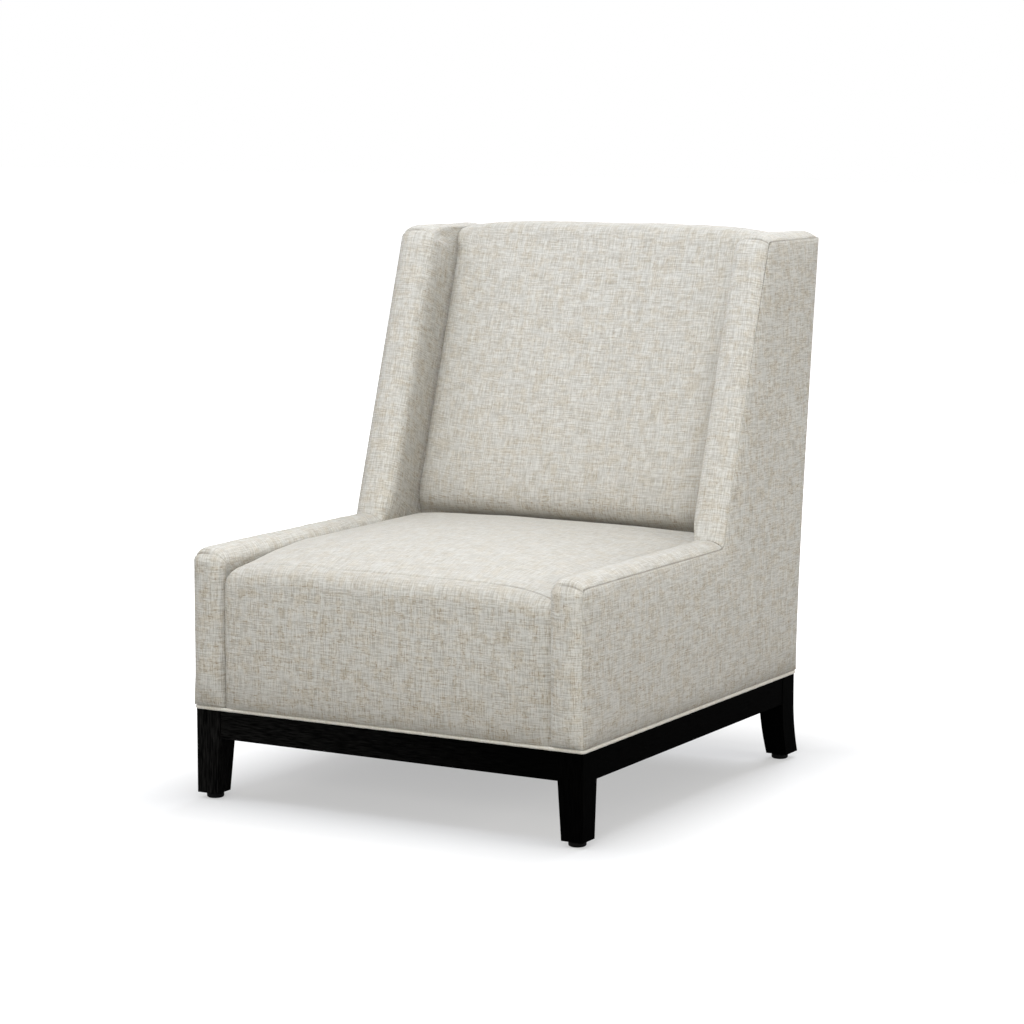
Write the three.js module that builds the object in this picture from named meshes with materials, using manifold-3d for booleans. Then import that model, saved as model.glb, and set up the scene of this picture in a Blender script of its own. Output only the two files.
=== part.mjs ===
// Slipper chair: a tightly upholstered armchair with low flat arms that run up into wings,
// on a dark timber base with four levelling glides.
// Millimetres, +Z up. The chair faces -Y, and left and right are as seen by someone facing it.
// The origin is on the floor, under the middle of the chair's bounding box.

import * as THREE from 'three';
import { mergeVertices } from 'three/addons/utils/BufferGeometryUtils.js';
import Module from 'manifold-3d';

const wasm = await Module();
wasm.setup();

// Overall upholstery, measured along its sewn edges. The depth counts from the front seam plane.
const upholsteryWidth = 711;
const footDepth = 756.3;
const rearRake = 71.2;
const armHeight = 396;
const wingHeight = 884;
const wingFootLength = 279.3;
const wingTopLength = 191.2;
const rearBendHeight = 319;
const sideThickness = 58;

// Fabric, clearances and roundings
const fabricThickness = 2;
const clearance = 0.3;
const overrun = 6;
const cornerRadius = 9;
const crookEase = 5;
const bandCrown = 11;
const crownFadeHeight = 60;
const footCrownShare = 0.25;

// Timber base
const baseTop = 147;
const apronHeight = 46.5;
const apronThickness = 22;
const frontApronSetback = 3;
const sideApronSetback = 1;
const baseInset = 2.3;
const legSize = 44.3;
const legFootSize = 38;
const legKick = 21;
const tenonLength = 18;
const tenonThickness = 8;
const tenonHeight = 30;
const blockReach = 112;
const blockThickness = 30;
const blockDrop = 6;

// Levelling glides and their threaded inserts
const padRadius = 14;
const padHeight = 9.4;
const padBevel = 2;
const padSocketDepth = 6;
const stemRadius = 4;
const stemReach = 30;
const insertRadius = 6;
const insertLength = 16;
const glideInset = 20.5;
const rearGlideLead = 5;

// Base bolts
const boltRadius = 4;
const boltHeadRadius = 7.5;
const boltHeadHeight = 5.3;
const boltBite = 25;
const boltSideInset = 75;

// Welt cord and dust cover
const weltDiameter = 6;
const weltProud = 1;
const weltCornerRadius = 8;
const dustCoverThickness = 1.2;
const dustCoverMargin = 8;

// Inner frame
const edgePadding = 22;
const flankPadding = 5;
const plywoodThickness = 19;
const railThickness = 30;
const seatRailTop = 300;
const postDepth = 45;
const topRailHeight = 50;
const backRailThickness = 25;
const lowerRailHeight = 60;
const lowerRailRise = 20;

// Springs and webbing
const springWireRadius = 1.9;
const springHalfWidth = 24;
const springArch = 22;
const springEndInset = 8;
const tieWireRadius = 1.5;
const deckingThickness = 3;
const deckingMargin = 10;
const webbingWidth = 70;
const webbingThickness = 2;

// Seat cushion
const seatEdgeHeight = 391;
const seatCornerDrop = 16;
const seatFrontRadius = 14;
const seatCrown = 34;
const seatRearRise = 6;
const frontCrown = 7;

// Back cushion
const wingRecess = 105;
const backCrown = 30;
const backTopRise = 2;
const backTopCrown = 19;
const backTopRadius = 26;
const backTopRoll = 8;
const backFootRise = 30;

// Shares and counts that set shapes but no size
const bandCrownShape = 3;
const bandStationShares = [0, 0.05, 0.14, 0.3, 0.5, 0.7, 0.86, 0.95, 1];
const cushionStationShares = [-1, -0.97, -0.9, -0.78, -0.6, -0.36, 0, 0.36, 0.6, 0.78, 0.9, 0.97, 1];
const seatDepthShares = [0.08, 0.2, 0.4, 0.6, 0.8, 1];
const backHeightShares = [0.2, 0.4, 0.6, 0.8];
const seatCrownShape = 2.6;
const seatDropShape = 7;
const seatCrownLeadShape = 0.6;
const seatCrownEndShare = 0.86;
const seatCornerFadeShare = 0.33;
const backTopFlatShare = 0.3;
const weltBevelShare = 0.29;
const frontCrownShape = 10;
const backCrownShape = 3;
const arcSteps = 4;
const rearSteps = 6;
const springCount = 5;
const springWaves = 8;
const springSteps = 8;
const springSides = 5;
const webbingCount = 3;
const roundSegments = 16;

// Values worked out from the sizes above
const halfWidth = upholsteryWidth / 2;
const topDepth = footDepth + rearRake;
const crookDepth = footDepth - wingFootLength;
const wingTopDepth = topDepth - wingTopLength;
const armInner = halfWidth - sideThickness;
const cushionHalfWidth = armInner - clearance;
const frameBottom = baseTop + dustCoverThickness + 2 * clearance;
const coverBottom = baseTop + weltDiameter + 2 * clearance;
const legTop = baseTop;
const legBottom = padHeight + clearance;
const apronBottom = baseTop - apronHeight;
const baseHalfWidth = halfWidth - baseInset;
const baseFront = baseInset;
const baseRear = footDepth - baseInset;
const plywoodOuter = halfWidth - fabricThickness - flankPadding;
const plywoodInner = plywoodOuter - plywoodThickness;
const frontRailFront = edgePadding;
const rearRailRear = footDepth - edgePadding;
const rearPadding = weltDiameter;
const postInner = armInner + fabricThickness + clearance;
const crookRadius = bandCrown + crookEase;
const topRailFoot = wingHeight - edgePadding - topRailHeight;
const lowerRailTop = seatRailTop + lowerRailRise + lowerRailHeight;
const backFoot = seatRailTop + backFootRise;
const cushionWidths = cushionStationShares.map((share) => cushionHalfWidth * share);
const centreDepth = (topDepth - bandCrown) / 2;

const fabric = new THREE.MeshStandardMaterial({ color: 0xcfcac0, roughness: 0.95, metalness: 0 });
const piping = new THREE.MeshStandardMaterial({ color: 0xd8d4c8, roughness: 0.9, metalness: 0 });
const foam = new THREE.MeshStandardMaterial({ color: 0xe9e2c9, roughness: 1, metalness: 0 });
const darkTimber = new THREE.MeshStandardMaterial({ color: 0x141312, roughness: 0.6, metalness: 0 });
const rawTimber = new THREE.MeshStandardMaterial({ color: 0xc49a6c, roughness: 0.8, metalness: 0 });
const steel = new THREE.MeshStandardMaterial({ color: 0x9a9da0, roughness: 0.4, metalness: 1 });
const blackPlastic = new THREE.MeshStandardMaterial({ color: 0x0c0c0d, roughness: 0.55, metalness: 0 });
const cambric = new THREE.MeshStandardMaterial({ color: 0x1c1c1e, roughness: 1, metalness: 0 });
const webbingCloth = new THREE.MeshStandardMaterial({ color: 0x4b463d, roughness: 0.95, metalness: 0 });

// Geometry and solids

function toSolid(geometry) {
  const bare = geometry.clone();
  bare.deleteAttribute('normal');
  bare.deleteAttribute('uv');
  const merged = mergeVertices(bare);
  const vertProperties = new Float32Array(merged.attributes.position.array);
  const triVerts = new Uint32Array(merged.index.array);
  return new wasm.Manifold(new wasm.Mesh({ numProp: 3, vertProperties, triVerts }));
}

function toGeometry(solid) {
  const cut = solid.getMesh();
  const geometry = new THREE.BufferGeometry();
  geometry.setAttribute('position', new THREE.BufferAttribute(new Float32Array(cut.vertProperties), 3));
  geometry.setIndex(new THREE.BufferAttribute(new Uint32Array(cut.triVerts), 1));
  geometry.computeVertexNormals();
  return geometry;
}

// Mirrors a geometry across the chair's middle plane and turns its faces the right way again.
function mirrored(geometry) {
  const copy = geometry.clone().applyMatrix4(new THREE.Matrix4().makeScale(-1, 1, 1));
  if (!copy.index) copy.setIndex([...Array(copy.attributes.position.count).keys()]);
  const order = copy.index.array;
  for (let corner = 0; corner < order.length; corner += 3) {
    [order[corner + 1], order[corner + 2]] = [order[corner + 2], order[corner + 1]];
  }
  copy.computeVertexNormals();
  return copy;
}

function boxBetween(low, high) {
  const geometry = new THREE.BoxGeometry(high[0] - low[0], high[1] - low[1], high[2] - low[2]);
  geometry.translate((low[0] + high[0]) / 2, (low[1] + high[1]) / 2, (low[2] + high[2]) / 2);
  return geometry;
}

// Extrudes an outline of [depth, height] points from one width to another.
function acrossWidth(outline, fromX, toX) {
  const shape = new THREE.Shape(outline.map(([y, z]) => new THREE.Vector2(y, z)));
  const geometry = new THREE.ExtrudeGeometry(shape, { depth: toX - fromX, bevelEnabled: false });
  const turn = new THREE.Matrix4().makeBasis(
    new THREE.Vector3(0, 1, 0), new THREE.Vector3(0, 0, 1), new THREE.Vector3(1, 0, 0));
  return geometry.applyMatrix4(turn).translate(fromX, 0, 0);
}

// Extrudes an outline of [width, height] points from one depth to another.
function alongDepth(outline, fromY, toY) {
  const shape = new THREE.Shape(outline.map(([x, z]) => new THREE.Vector2(x, z)));
  const geometry = new THREE.ExtrudeGeometry(shape, { depth: toY - fromY, bevelEnabled: false });
  const turn = new THREE.Matrix4().makeBasis(
    new THREE.Vector3(1, 0, 0), new THREE.Vector3(0, 0, 1), new THREE.Vector3(0, -1, 0));
  return geometry.applyMatrix4(turn).translate(0, toY, 0);
}

// Joins a row of closed rings, each an array of [depth, height] points at one width, into a solid.
function loftAcross(stations) {
  const count = stations[0].ring.length;
  const positions = stations.flatMap(({ x, ring }) => ring.flatMap(([y, z]) => [x, y, z]));
  const faces = [];
  for (let row = 0; row + 1 < stations.length; row += 1) {
    for (let point = 0; point < count; point += 1) {
      const next = (point + 1) % count;
      const a = row * count + point;
      const b = row * count + next;
      faces.push(a, b, b + count, a, b + count, a + count);
    }
  }
  const last = (stations.length - 1) * count;
  const firstCap = THREE.ShapeUtils.triangulateShape(flatRing(stations[0].ring), []);
  const lastCap = THREE.ShapeUtils.triangulateShape(flatRing(stations[stations.length - 1].ring), []);
  firstCap.forEach(([a, b, c]) => faces.push(a, c, b));
  lastCap.forEach(([a, b, c]) => faces.push(last + a, last + b, last + c));
  const geometry = new THREE.BufferGeometry();
  geometry.setAttribute('position', new THREE.Float32BufferAttribute(positions, 3));
  geometry.setIndex(faces);
  return geometry;
}

// Lofts the rings of a layer between two widths. Every layer of a shape has its rings at the same
// widths, and its ends are cut between them, so that the layers stay parallel.
function layerBetween(widths, ringAt, fromX, toX) {
  const rings = widths.map((x) => ({ x, ring: ringAt(x) }));
  const inside = rings.filter(({ x }) => x > fromX && x < toX);
  return toSolid(loftAcross([ringBetween(rings, fromX), ...inside, ringBetween(rings, toX)]));
}

function ringBetween(rings, x) {
  const after = rings.findIndex((entry) => entry.x >= x);
  if (after === 0) return { x, ring: rings[0].ring };
  if (after < 0) return { x, ring: rings[rings.length - 1].ring };
  const share = (x - rings[after - 1].x) / (rings[after].x - rings[after - 1].x);
  const far = rings[after].ring;
  const ring = rings[after - 1].ring.map(([y, z], index) => [
    THREE.MathUtils.lerp(y, far[index][0], share), THREE.MathUtils.lerp(z, far[index][1], share)]);
  return { x, ring };
}

function flatRing(ring) {
  return ring.map(([y, z]) => new THREE.Vector2(y, z));
}

// Shapes of the sides, the rear and the cushions

// Depth of the rear face at a height: upright below, then a long even bend into the raked top.
function rearDepth(height) {
  const start = coverBottom;
  const pull = rearBendHeight - start;
  const curve = wingHeight - 2 * rearBendHeight + start;
  const rise = height - start;
  const share = (Math.sqrt(pull * pull + curve * rise) - pull) / curve;
  return footDepth + (topDepth - footDepth) * share * Math.abs(share);
}

// Depth of the wing's raked front edge at a height.
function wingFront(height) {
  const rake = (wingTopDepth - crookDepth) / (wingHeight - armHeight);
  return crookDepth + rake * (height - armHeight);
}

// Strip that follows the rear face, between two depths in from it and two heights.
function rearStrip(innerInset, outerInset, low, high) {
  const inner = [];
  const outer = [];
  for (let step = 0; step <= rearSteps; step += 1) {
    const height = low + (high - low) * step / rearSteps;
    inner.push([rearDepth(height) - innerInset, height]);
    outer.push([rearDepth(height) - outerInset, height]);
  }
  return [...outer, ...inner.reverse()];
}

// Rounds the corner at b between a and c, as points that know which way is outwards.
function roundedCorner(a, b, c, radius, share) {
  const before = new THREE.Vector2(a[0] - b[0], a[1] - b[1]).normalize();
  const after = new THREE.Vector2(c[0] - b[0], c[1] - b[1]).normalize();
  const half = Math.acos(before.dot(after)) / 2;
  const reach = radius / Math.tan(half);
  const hub = before.clone().add(after).normalize().multiplyScalar(radius / Math.sin(half));
  const convex = before.cross(after) < 0;
  const from = before.clone().multiplyScalar(reach).sub(hub);
  const to = after.clone().multiplyScalar(reach).sub(hub);
  const startAngle = from.angle();
  let sweep = to.angle() - startAngle;
  if (sweep > Math.PI) sweep -= 2 * Math.PI;
  if (sweep < -Math.PI) sweep += 2 * Math.PI;
  const points = [];
  for (let step = 0; step <= arcSteps; step += 1) {
    const angle = startAngle + sweep * step / arcSteps;
    const out = [Math.cos(angle), Math.sin(angle)];
    const at = [b[0] + hub.x + radius * out[0], b[1] + hub.y + radius * out[1]];
    const face = convex ? out : [-out[0], -out[1]];
    points.push({ at, band: face, share, rear: false });
  }
  return points;
}

// Outline of a side, from the foot of its front round under, up the rear and back down the front.
// Each point says which way the edge band moves it, and whether the rear's padding moves it.
function flankOutline(bottom, convexRadius = cornerRadius) {
  const front = [-1, 0];
  const frontTop = [0, armHeight];
  const crook = [crookDepth, armHeight];
  const wingTop = [wingTopDepth, wingHeight];
  const rearTop = [topDepth, wingHeight];
  const points = [{ at: [0, bottom], band: front, share: footCrownShare, rear: false }];
  for (let step = 0; step <= rearSteps; step += 1) {
    const height = bottom + (wingHeight - bottom) * step / rearSteps;
    const band = step === rearSteps ? [0, 1] : [0, 0];
    points.push({ at: [topDepth, height], band, share: 1, rear: true });
  }
  points.push(...roundedCorner(rearTop, wingTop, crook, convexRadius, 1));
  points.push(...roundedCorner(wingTop, crook, frontTop, crookRadius, 1));
  points.push(...roundedCorner(crook, frontTop, [0, bottom], convexRadius, 1));
  points.push({ at: [0, coverBottom + crownFadeHeight], band: front, share: 1, rear: false });
  return points;
}

// How far the soft edge band stands proud of its seams at a width.
function bandBulge(x) {
  const across = Math.abs(2 * (x - armInner) / sideThickness - 1);
  return bandCrown * (1 - Math.pow(Math.min(across, 1), bandCrownShape));
}

function flankRing(outline, bulge, inset, rearInset) {
  return outline.map(({ at, band, share, rear }) => {
    const move = bulge * share - inset;
    const height = at[1] + band[1] * move;
    const within = Math.min(Math.max(height, coverBottom), wingHeight);
    return [rear ? rearDepth(within) - rearInset : at[0] + band[0] * move, height];
  });
}

// A whole right side with its crowned edge, drawn in by an inset and cut off at two widths.
function sideBody(inset, rearInset, bottom, fromX, toX) {
  const outline = flankOutline(bottom);
  const widths = bandStationShares.map((share) => armInner + sideThickness * share);
  return layerBetween(widths, (x) => flankRing(outline, bandBulge(x), inset, rearInset), fromX, toX);
}

// Room in a side for the posts, rails and webbing, behind the webbing's front face.
function postRoom() {
  const deepest = rearPadding + postDepth + webbingThickness + 3 * clearance;
  const strip = rearStrip(deepest, -overrun, coverBottom, wingHeight - edgePadding + clearance);
  return toSolid(acrossWidth(strip, armInner - overrun, plywoodInner + clearance));
}

// Room in a side for the seat rails, below their tops.
function seatRailRoom() {
  const low = [armInner - overrun, frontRailFront - clearance, coverBottom - overrun];
  const high = [plywoodInner + clearance, topDepth, seatRailTop + clearance];
  return toSolid(boxBetween(low, high));
}

function plywoodOutline(grow) {
  const inset = edgePadding - grow;
  const rearInset = rearPadding - grow;
  return flankRing(flankOutline(frameBottom - grow, edgePadding + cornerRadius), 0, inset, rearInset);
}

// Side panel of the frame: one plywood board with the arm and the wing in its outline.
function sidePanel() {
  return acrossWidth(plywoodOutline(0), plywoodInner, plywoodOuter);
}

function sidePadding() {
  const inset = fabricThickness + clearance;
  const body = sideBody(inset, inset, coverBottom, armInner + inset, halfWidth - inset);
  const pocket = toSolid(
    acrossWidth(plywoodOutline(clearance), plywoodInner - clearance, plywoodOuter + clearance));
  return toGeometry(body.subtract(pocket).subtract(postRoom()).subtract(seatRailRoom()));
}

// Edge band cover: the sewn strip over the arm and the wing, with the lining of the inner face.
function bandCover() {
  const outerFace = halfWidth - fabricThickness - clearance;
  const skin = fabricThickness + clearance;
  const body = sideBody(0, skin, coverBottom, armInner, outerFace);
  const hollow = sideBody(
    fabricThickness, -overrun, coverBottom - overrun, armInner + fabricThickness, halfWidth + overrun);
  return toGeometry(body.subtract(hollow).subtract(postRoom()).subtract(seatRailRoom()));
}

function flankCover() {
  const outline = flankRing(flankOutline(coverBottom), 0, 0, 0);
  return acrossWidth(outline, halfWidth - fabricThickness, halfWidth);
}

// Seat cushion

function seatEdge(x) {
  const across = Math.abs(x) / cushionHalfWidth;
  return seatEdgeHeight - seatCornerDrop * Math.pow(across, seatDropShape);
}

// Height of the seat at a place: a flat boxed front edge, a crown, and a slight rise to the back.
function seatTop(x, depthShare) {
  const across = 1 - Math.pow(Math.abs(x) / cushionHalfWidth, seatCrownShape);
  const along = Math.sin(Math.PI * seatCrownEndShare * Math.pow(depthShare, seatCrownLeadShape));
  const corner = Math.min(1, depthShare / seatCornerFadeShare);
  const edge = seatEdge(x) + (seatEdgeHeight - seatEdge(x)) * corner;
  return edge + seatCrown * across * along + seatRearRise * depthShare;
}

function seatRing(x, inset, bottom, rear) {
  const across = Math.pow(Math.min(1, Math.abs(x) / cushionHalfWidth), frontCrownShape);
  const front = inset - frontCrown * (1 - across);
  const edge = seatEdge(x) - inset;
  const ring = [[inset, bottom], [rear, bottom]];
  for (const share of [...seatDepthShares].reverse()) {
    ring.push([front + (rear - front) * share, seatTop(x, share) - inset]);
  }
  for (let step = 0; step <= arcSteps; step += 1) {
    const angle = Math.PI / 2 * (1 + step / arcSteps);
    const y = front + seatFrontRadius * (1 + Math.cos(angle));
    ring.push([y, edge - seatFrontRadius * (1 - Math.sin(angle))]);
  }
  ring.push([front, coverBottom + crownFadeHeight]);
  return ring;
}

function seatBody(inset, bottom, rear) {
  const half = cushionHalfWidth - inset;
  return layerBetween(cushionWidths, (x) => seatRing(x, inset, bottom, rear), -half, half);
}

// Height of the springs' centre line over the rails, a shallow arch from front to rear.
function springHeight(y) {
  const front = frontRailFront + springEndInset;
  const rear = rearRailRear - springEndInset;
  const across = (2 * y - front - rear) / (rear - front);
  return seatRailTop + springWireRadius + clearance + springArch * (1 - across * across);
}

// Outline of a layer that lies on the springs, from one height over them to another.
function overSprings(low, high, front, rear) {
  const under = [];
  const over = [];
  const steps = 2 * rearSteps;
  for (let step = 0; step <= steps; step += 1) {
    const y = front + (rear - front) * step / steps;
    under.push([y, springHeight(y) + low]);
    over.push([y, springHeight(y) + high]);
  }
  return [...under, ...over.reverse()];
}

const deckBottomRise = springWireRadius + clearance;
const deckTopRise = deckBottomRise + deckingThickness + clearance;

// Room under the seat for the rails, the springs and their decking.
function seatFrameRoom() {
  const front = frontRailFront - clearance;
  const floor = coverBottom - overrun;
  const arch = overSprings(0, deckTopRise, frontRailFront + springEndInset, rearRailRear - springEndInset);
  const over = arch.slice(arch.length / 2);
  const outline = [[front, floor], [topDepth, floor], [topDepth, over[0][1]], ...over,
    [front, over[over.length - 1][1]]];
  const wide = cushionHalfWidth + overrun;
  return toSolid(acrossWidth(outline, -wide, wide));
}

function seatFoam() {
  const inset = fabricThickness + clearance;
  const body = seatBody(inset, coverBottom, backEdge(armHeight) + overrun);
  return toGeometry(body.subtract(seatFrameRoom()).subtract(backBody(-clearance, 0, seatRailTop)));
}

// Both seat covers together, before they part at the seam along the front edge.
function seatSkin() {
  const rear = backEdge(armHeight) + overrun;
  const body = seatBody(0, coverBottom, rear);
  const hollow = seatBody(fabricThickness, coverBottom - overrun, rear + overrun);
  return body.subtract(hollow).subtract(seatFrameRoom()).subtract(backBody(-clearance, 0, seatRailTop));
}

// Everything in front of and below the seam, which follows the cushion's drawn-down corners.
function frontSeamZone(gap) {
  const wide = cushionHalfWidth + overrun;
  const front = -frontCrown - overrun;
  const rear = frontRailFront - clearance;
  return layerBetween(cushionWidths, (x) => {
    const seam = seatEdge(x) - seatFrontRadius / 2 + gap;
    return [[front, 0], [rear, 0], [rear, seam], [front, seam]];
  }, -wide, wide);
}

function seatCover() {
  return toGeometry(seatSkin().subtract(frontSeamZone(clearance)));
}

function frontPanelCover() {
  return toGeometry(seatSkin().intersect(frontSeamZone(0)));
}

// Back cushion

function backEdge(height) {
  return wingFront(height) + wingRecess;
}

// Depth of the back's face: raked with the wings, fullest in the lower middle.
function backFace(x, height) {
  const across = 1 - Math.pow(Math.abs(x) / cushionHalfWidth, backCrownShape);
  const up = (height - armHeight) / (wingHeight - armHeight);
  const full = 1 - backTopFlatShare * up;
  return backEdge(height) - backCrown * across * full;
}

function backTop(x) {
  const across = 1 - Math.pow(Math.abs(x) / cushionHalfWidth, backCrownShape);
  return wingHeight + backTopRise + backTopCrown * across;
}

function backRing(x, inset, rearInset, foot) {
  const top = backTop(x) - inset;
  const ring = [];
  for (let step = 0; step <= rearSteps; step += 1) {
    const height = foot + (wingHeight - inset - foot) * step / rearSteps;
    ring.push([rearDepth(height) - rearInset, height]);
  }
  ring.push([topDepth - backTopRoll, wingHeight - inset]);
  const face = backFace(x, top - backTopRadius) + inset;
  const ridge = (face + backTopRadius + topDepth) / 2;
  ring.push([ridge, top]);
  for (let step = 0; step <= arcSteps; step += 1) {
    const angle = Math.PI / 2 * (1 + step / arcSteps);
    ring.push([face + backTopRadius * (1 + Math.cos(angle)), top - backTopRadius * (1 - Math.sin(angle))]);
  }
  for (const share of [...backHeightShares].reverse()) {
    const height = foot + (top - backTopRadius - foot) * share;
    ring.push([backFace(x, height) + inset, height]);
  }
  ring.push([backFace(x, foot) + inset, foot]);
  return ring;
}

function backBody(inset, rearInset, foot = backFoot) {
  const half = cushionHalfWidth - inset;
  return layerBetween(cushionWidths, (x) => backRing(x, inset, rearInset, foot), -half, half);
}

// Room in the back for its rails and webbing, up to the top rail's top.
function backFrameRoom() {
  const deepest = rearPadding + postDepth + webbingThickness + 3 * clearance;
  const strip = rearStrip(deepest, -2 * overrun, coverBottom, wingHeight - edgePadding + clearance);
  const wide = cushionHalfWidth + overrun;
  return toSolid(acrossWidth(strip, -wide, wide));
}

function backFoam() {
  const inset = fabricThickness + clearance;
  return toGeometry(backBody(inset, inset).subtract(backFrameRoom()));
}

function backCover() {
  const skin = fabricThickness + clearance;
  const body = backBody(0, skin);
  const hollow = backBody(fabricThickness, -overrun, backFoot - overrun);
  return toGeometry(body.subtract(hollow).subtract(backFrameRoom()));
}

function outsideBackCover() {
  const strip = rearStrip(fabricThickness, 0, coverBottom, wingHeight);
  const wide = halfWidth - fabricThickness - clearance;
  return acrossWidth(strip, -wide, wide);
}

// Inner frame

function seatRail(front, boltDepth) {
  const wide = plywoodInner - clearance;
  const low = [-wide, front, frameBottom];
  const high = [wide, front + railThickness, seatRailTop];
  let rail = toSolid(boxBetween(low, high));
  for (const side of [-1, 1]) {
    const bore = cylinderUp(boltRadius + clearance, frameBottom - overrun,
      frameBottom + boltBite + 2 * clearance);
    bore.translate(side * (halfWidth - boltSideInset), boltDepth, 0);
    rail = rail.subtract(toSolid(bore));
  }
  return toGeometry(rail);
}

function cylinderUp(radius, low, high) {
  const geometry = new THREE.CylinderGeometry(radius, radius, high - low, roundSegments);
  return geometry.rotateX(Math.PI / 2).translate(0, 0, (low + high) / 2);
}

function backPost() {
  const low = seatRailTop + clearance;
  const strip = rearStrip(rearPadding + postDepth, rearPadding, low, wingHeight - edgePadding);
  return acrossWidth(strip, postInner, plywoodInner - clearance);
}

// Rail between the posts, flush with their front faces, so that webbing runs flat over them.
function backRail(low, high) {
  const deepest = rearPadding + postDepth;
  const wide = postInner - clearance;
  return acrossWidth(rearStrip(deepest, deepest - backRailThickness, low, high), -wide, wide);
}

// Straps spread evenly over the space between the lower rail and the top rail.
function backWebbing(row) {
  const near = rearPadding + postDepth + clearance;
  const free = topRailFoot - lowerRailTop - webbingCount * webbingWidth;
  const space = free / (webbingCount + 1);
  const low = lowerRailTop + space + row * (webbingWidth + space);
  const wide = plywoodInner - clearance;
  return acrossWidth(rearStrip(near + webbingThickness, near, low, low + webbingWidth), -wide, wide);
}

// Centre line of a sinuous spring: cross wires that step forward only round their loops.
class SinuousCurve extends THREE.Curve {
  constructor(centre, front, rear) {
    super();
    this.centre = centre;
    this.front = front;
    this.rear = rear;
  }

  getPoint(share, target = new THREE.Vector3()) {
    const angle = 2 * Math.PI * springWaves * share;
    const pitch = (this.rear - this.front) / (2 * Math.PI * springWaves);
    const y = this.front + pitch * (angle + Math.sin(2 * angle) / 2);
    return target.set(this.centre + springHalfWidth * Math.cos(angle), y, springHeight(y));
  }

  getPointAt(share, target) {
    return this.getPoint(share, target);
  }
}

function roundSection(radius, sides) {
  const points = [];
  for (let side = 0; side < sides; side += 1) {
    const angle = 2 * Math.PI * side / sides;
    points.push(new THREE.Vector2(radius * Math.cos(angle), radius * Math.sin(angle)));
  }
  return new THREE.Shape(points);
}

function seatSpring(centre) {
  const curve = new SinuousCurve(centre, frontRailFront + springEndInset, rearRailRear - springEndInset);
  const steps = springWaves * springSteps;
  return new THREE.ExtrudeGeometry(roundSection(springWireRadius, springSides),
    { steps, bevelEnabled: false, extrudePath: curve });
}

function tieWire() {
  const middle = (frontRailFront + rearRailRear) / 2;
  const reach = armInner - deckingMargin;
  const geometry = new THREE.CylinderGeometry(tieWireRadius, tieWireRadius, 2 * reach, roundSegments / 2);
  const drop = springWireRadius + tieWireRadius + clearance;
  return geometry.rotateZ(Math.PI / 2).translate(0, middle, springHeight(middle) - drop);
}

function seatDecking() {
  const front = frontRailFront + springEndInset;
  const rear = rearRailRear - springEndInset;
  const outline = overSprings(deckBottomRise, deckBottomRise + deckingThickness, front, rear);
  const wide = armInner - deckingMargin;
  return acrossWidth(outline, -wide, wide);
}

// Base

// Tongue of an apron's tenon from one place to another, or its mortise when it is grown.
function tenonBox(from, to, centre, grow, alongX) {
  const middle = (apronBottom + baseTop) / 2;
  const low = middle - tenonHeight / 2 - grow;
  const high = middle + tenonHeight / 2 + grow;
  const half = tenonThickness / 2 + grow;
  if (alongX) return boxBetween([from, centre - half, low], [to, centre + half, high]);
  return boxBetween([centre - half, from, low], [centre + half, to, high]);
}

const legInner = baseHalfWidth - legSize;
const frontApronCentre = baseFront + frontApronSetback + apronThickness / 2;
const rearApronCentre = baseRear - frontApronSetback - apronThickness / 2;
const sideApronCentre = baseHalfWidth - sideApronSetback - apronThickness / 2;

// How far the rear leg sweeps back at a height: nothing at the apron, most at the foot.
function rearSweep(height) {
  const share = Math.max(0, 1 - height / apronBottom);
  return legKick * share * share;
}

function rearLegSide() {
  const front = [];
  const rear = [];
  const steps = 2 * rearSteps;
  for (let step = 0; step <= steps; step += 1) {
    const height = legBottom + (apronBottom - legBottom) * step / steps;
    front.push([baseRear - legSize + rearSweep(height), height]);
    rear.push([baseRear + rearSweep(height), height]);
  }
  return [...rear, [baseRear, legTop], [baseRear - legSize, legTop], ...front.reverse()];
}

function glideDepth(isFront) {
  if (isFront) return baseFront + glideInset;
  return baseRear + rearSweep(legBottom) - legSize / 2 - rearGlideLead;
}

const glideSide = baseHalfWidth - glideInset;

// Right leg, front or rear: tapered on its inner faces, with mortises and the glide's bore.
function leg(isFront) {
  const inner = legInner;
  const foot = baseHalfWidth - legFootSize;
  const fromFront = [[foot, legBottom], [baseHalfWidth, legBottom], [baseHalfWidth, legTop],
    [inner, legTop], [inner, apronBottom]];
  const back = baseFront + legSize;
  const frontSide = [[baseFront, legBottom], [baseFront + legFootSize, legBottom], [back, apronBottom],
    [back, legTop], [baseFront, legTop]];
  const deepest = baseRear + legKick + overrun;
  const front = toSolid(alongDepth(fromFront, baseFront - overrun, deepest));
  const side = toSolid(acrossWidth(isFront ? frontSide : rearLegSide(), inner - overrun,
    baseHalfWidth + overrun));
  let solid = front.intersect(side);
  const apronCentre = isFront ? frontApronCentre : rearApronCentre;
  const innerFace = isFront ? back : baseRear - legSize;
  const inwards = isFront ? -1 : 1;
  const ends = [innerFace - inwards * overrun, innerFace + inwards * (tenonLength + clearance)];
  solid = solid.subtract(toSolid(
    tenonBox(inner - overrun, inner + tenonLength + clearance, apronCentre, clearance, true)));
  solid = solid.subtract(toSolid(
    tenonBox(Math.min(...ends), Math.max(...ends), sideApronCentre, clearance, false)));
  const socket = cylinderUp(insertRadius + clearance, legBottom - overrun,
    legBottom + insertLength + clearance);
  const shaft = cylinderUp(stemRadius + clearance, legBottom - overrun,
    legBottom + stemReach + clearance);
  for (const bore of [socket, shaft]) {
    solid = solid.subtract(toSolid(bore.translate(glideSide, glideDepth(isFront), 0)));
  }
  return toGeometry(solid);
}

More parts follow.
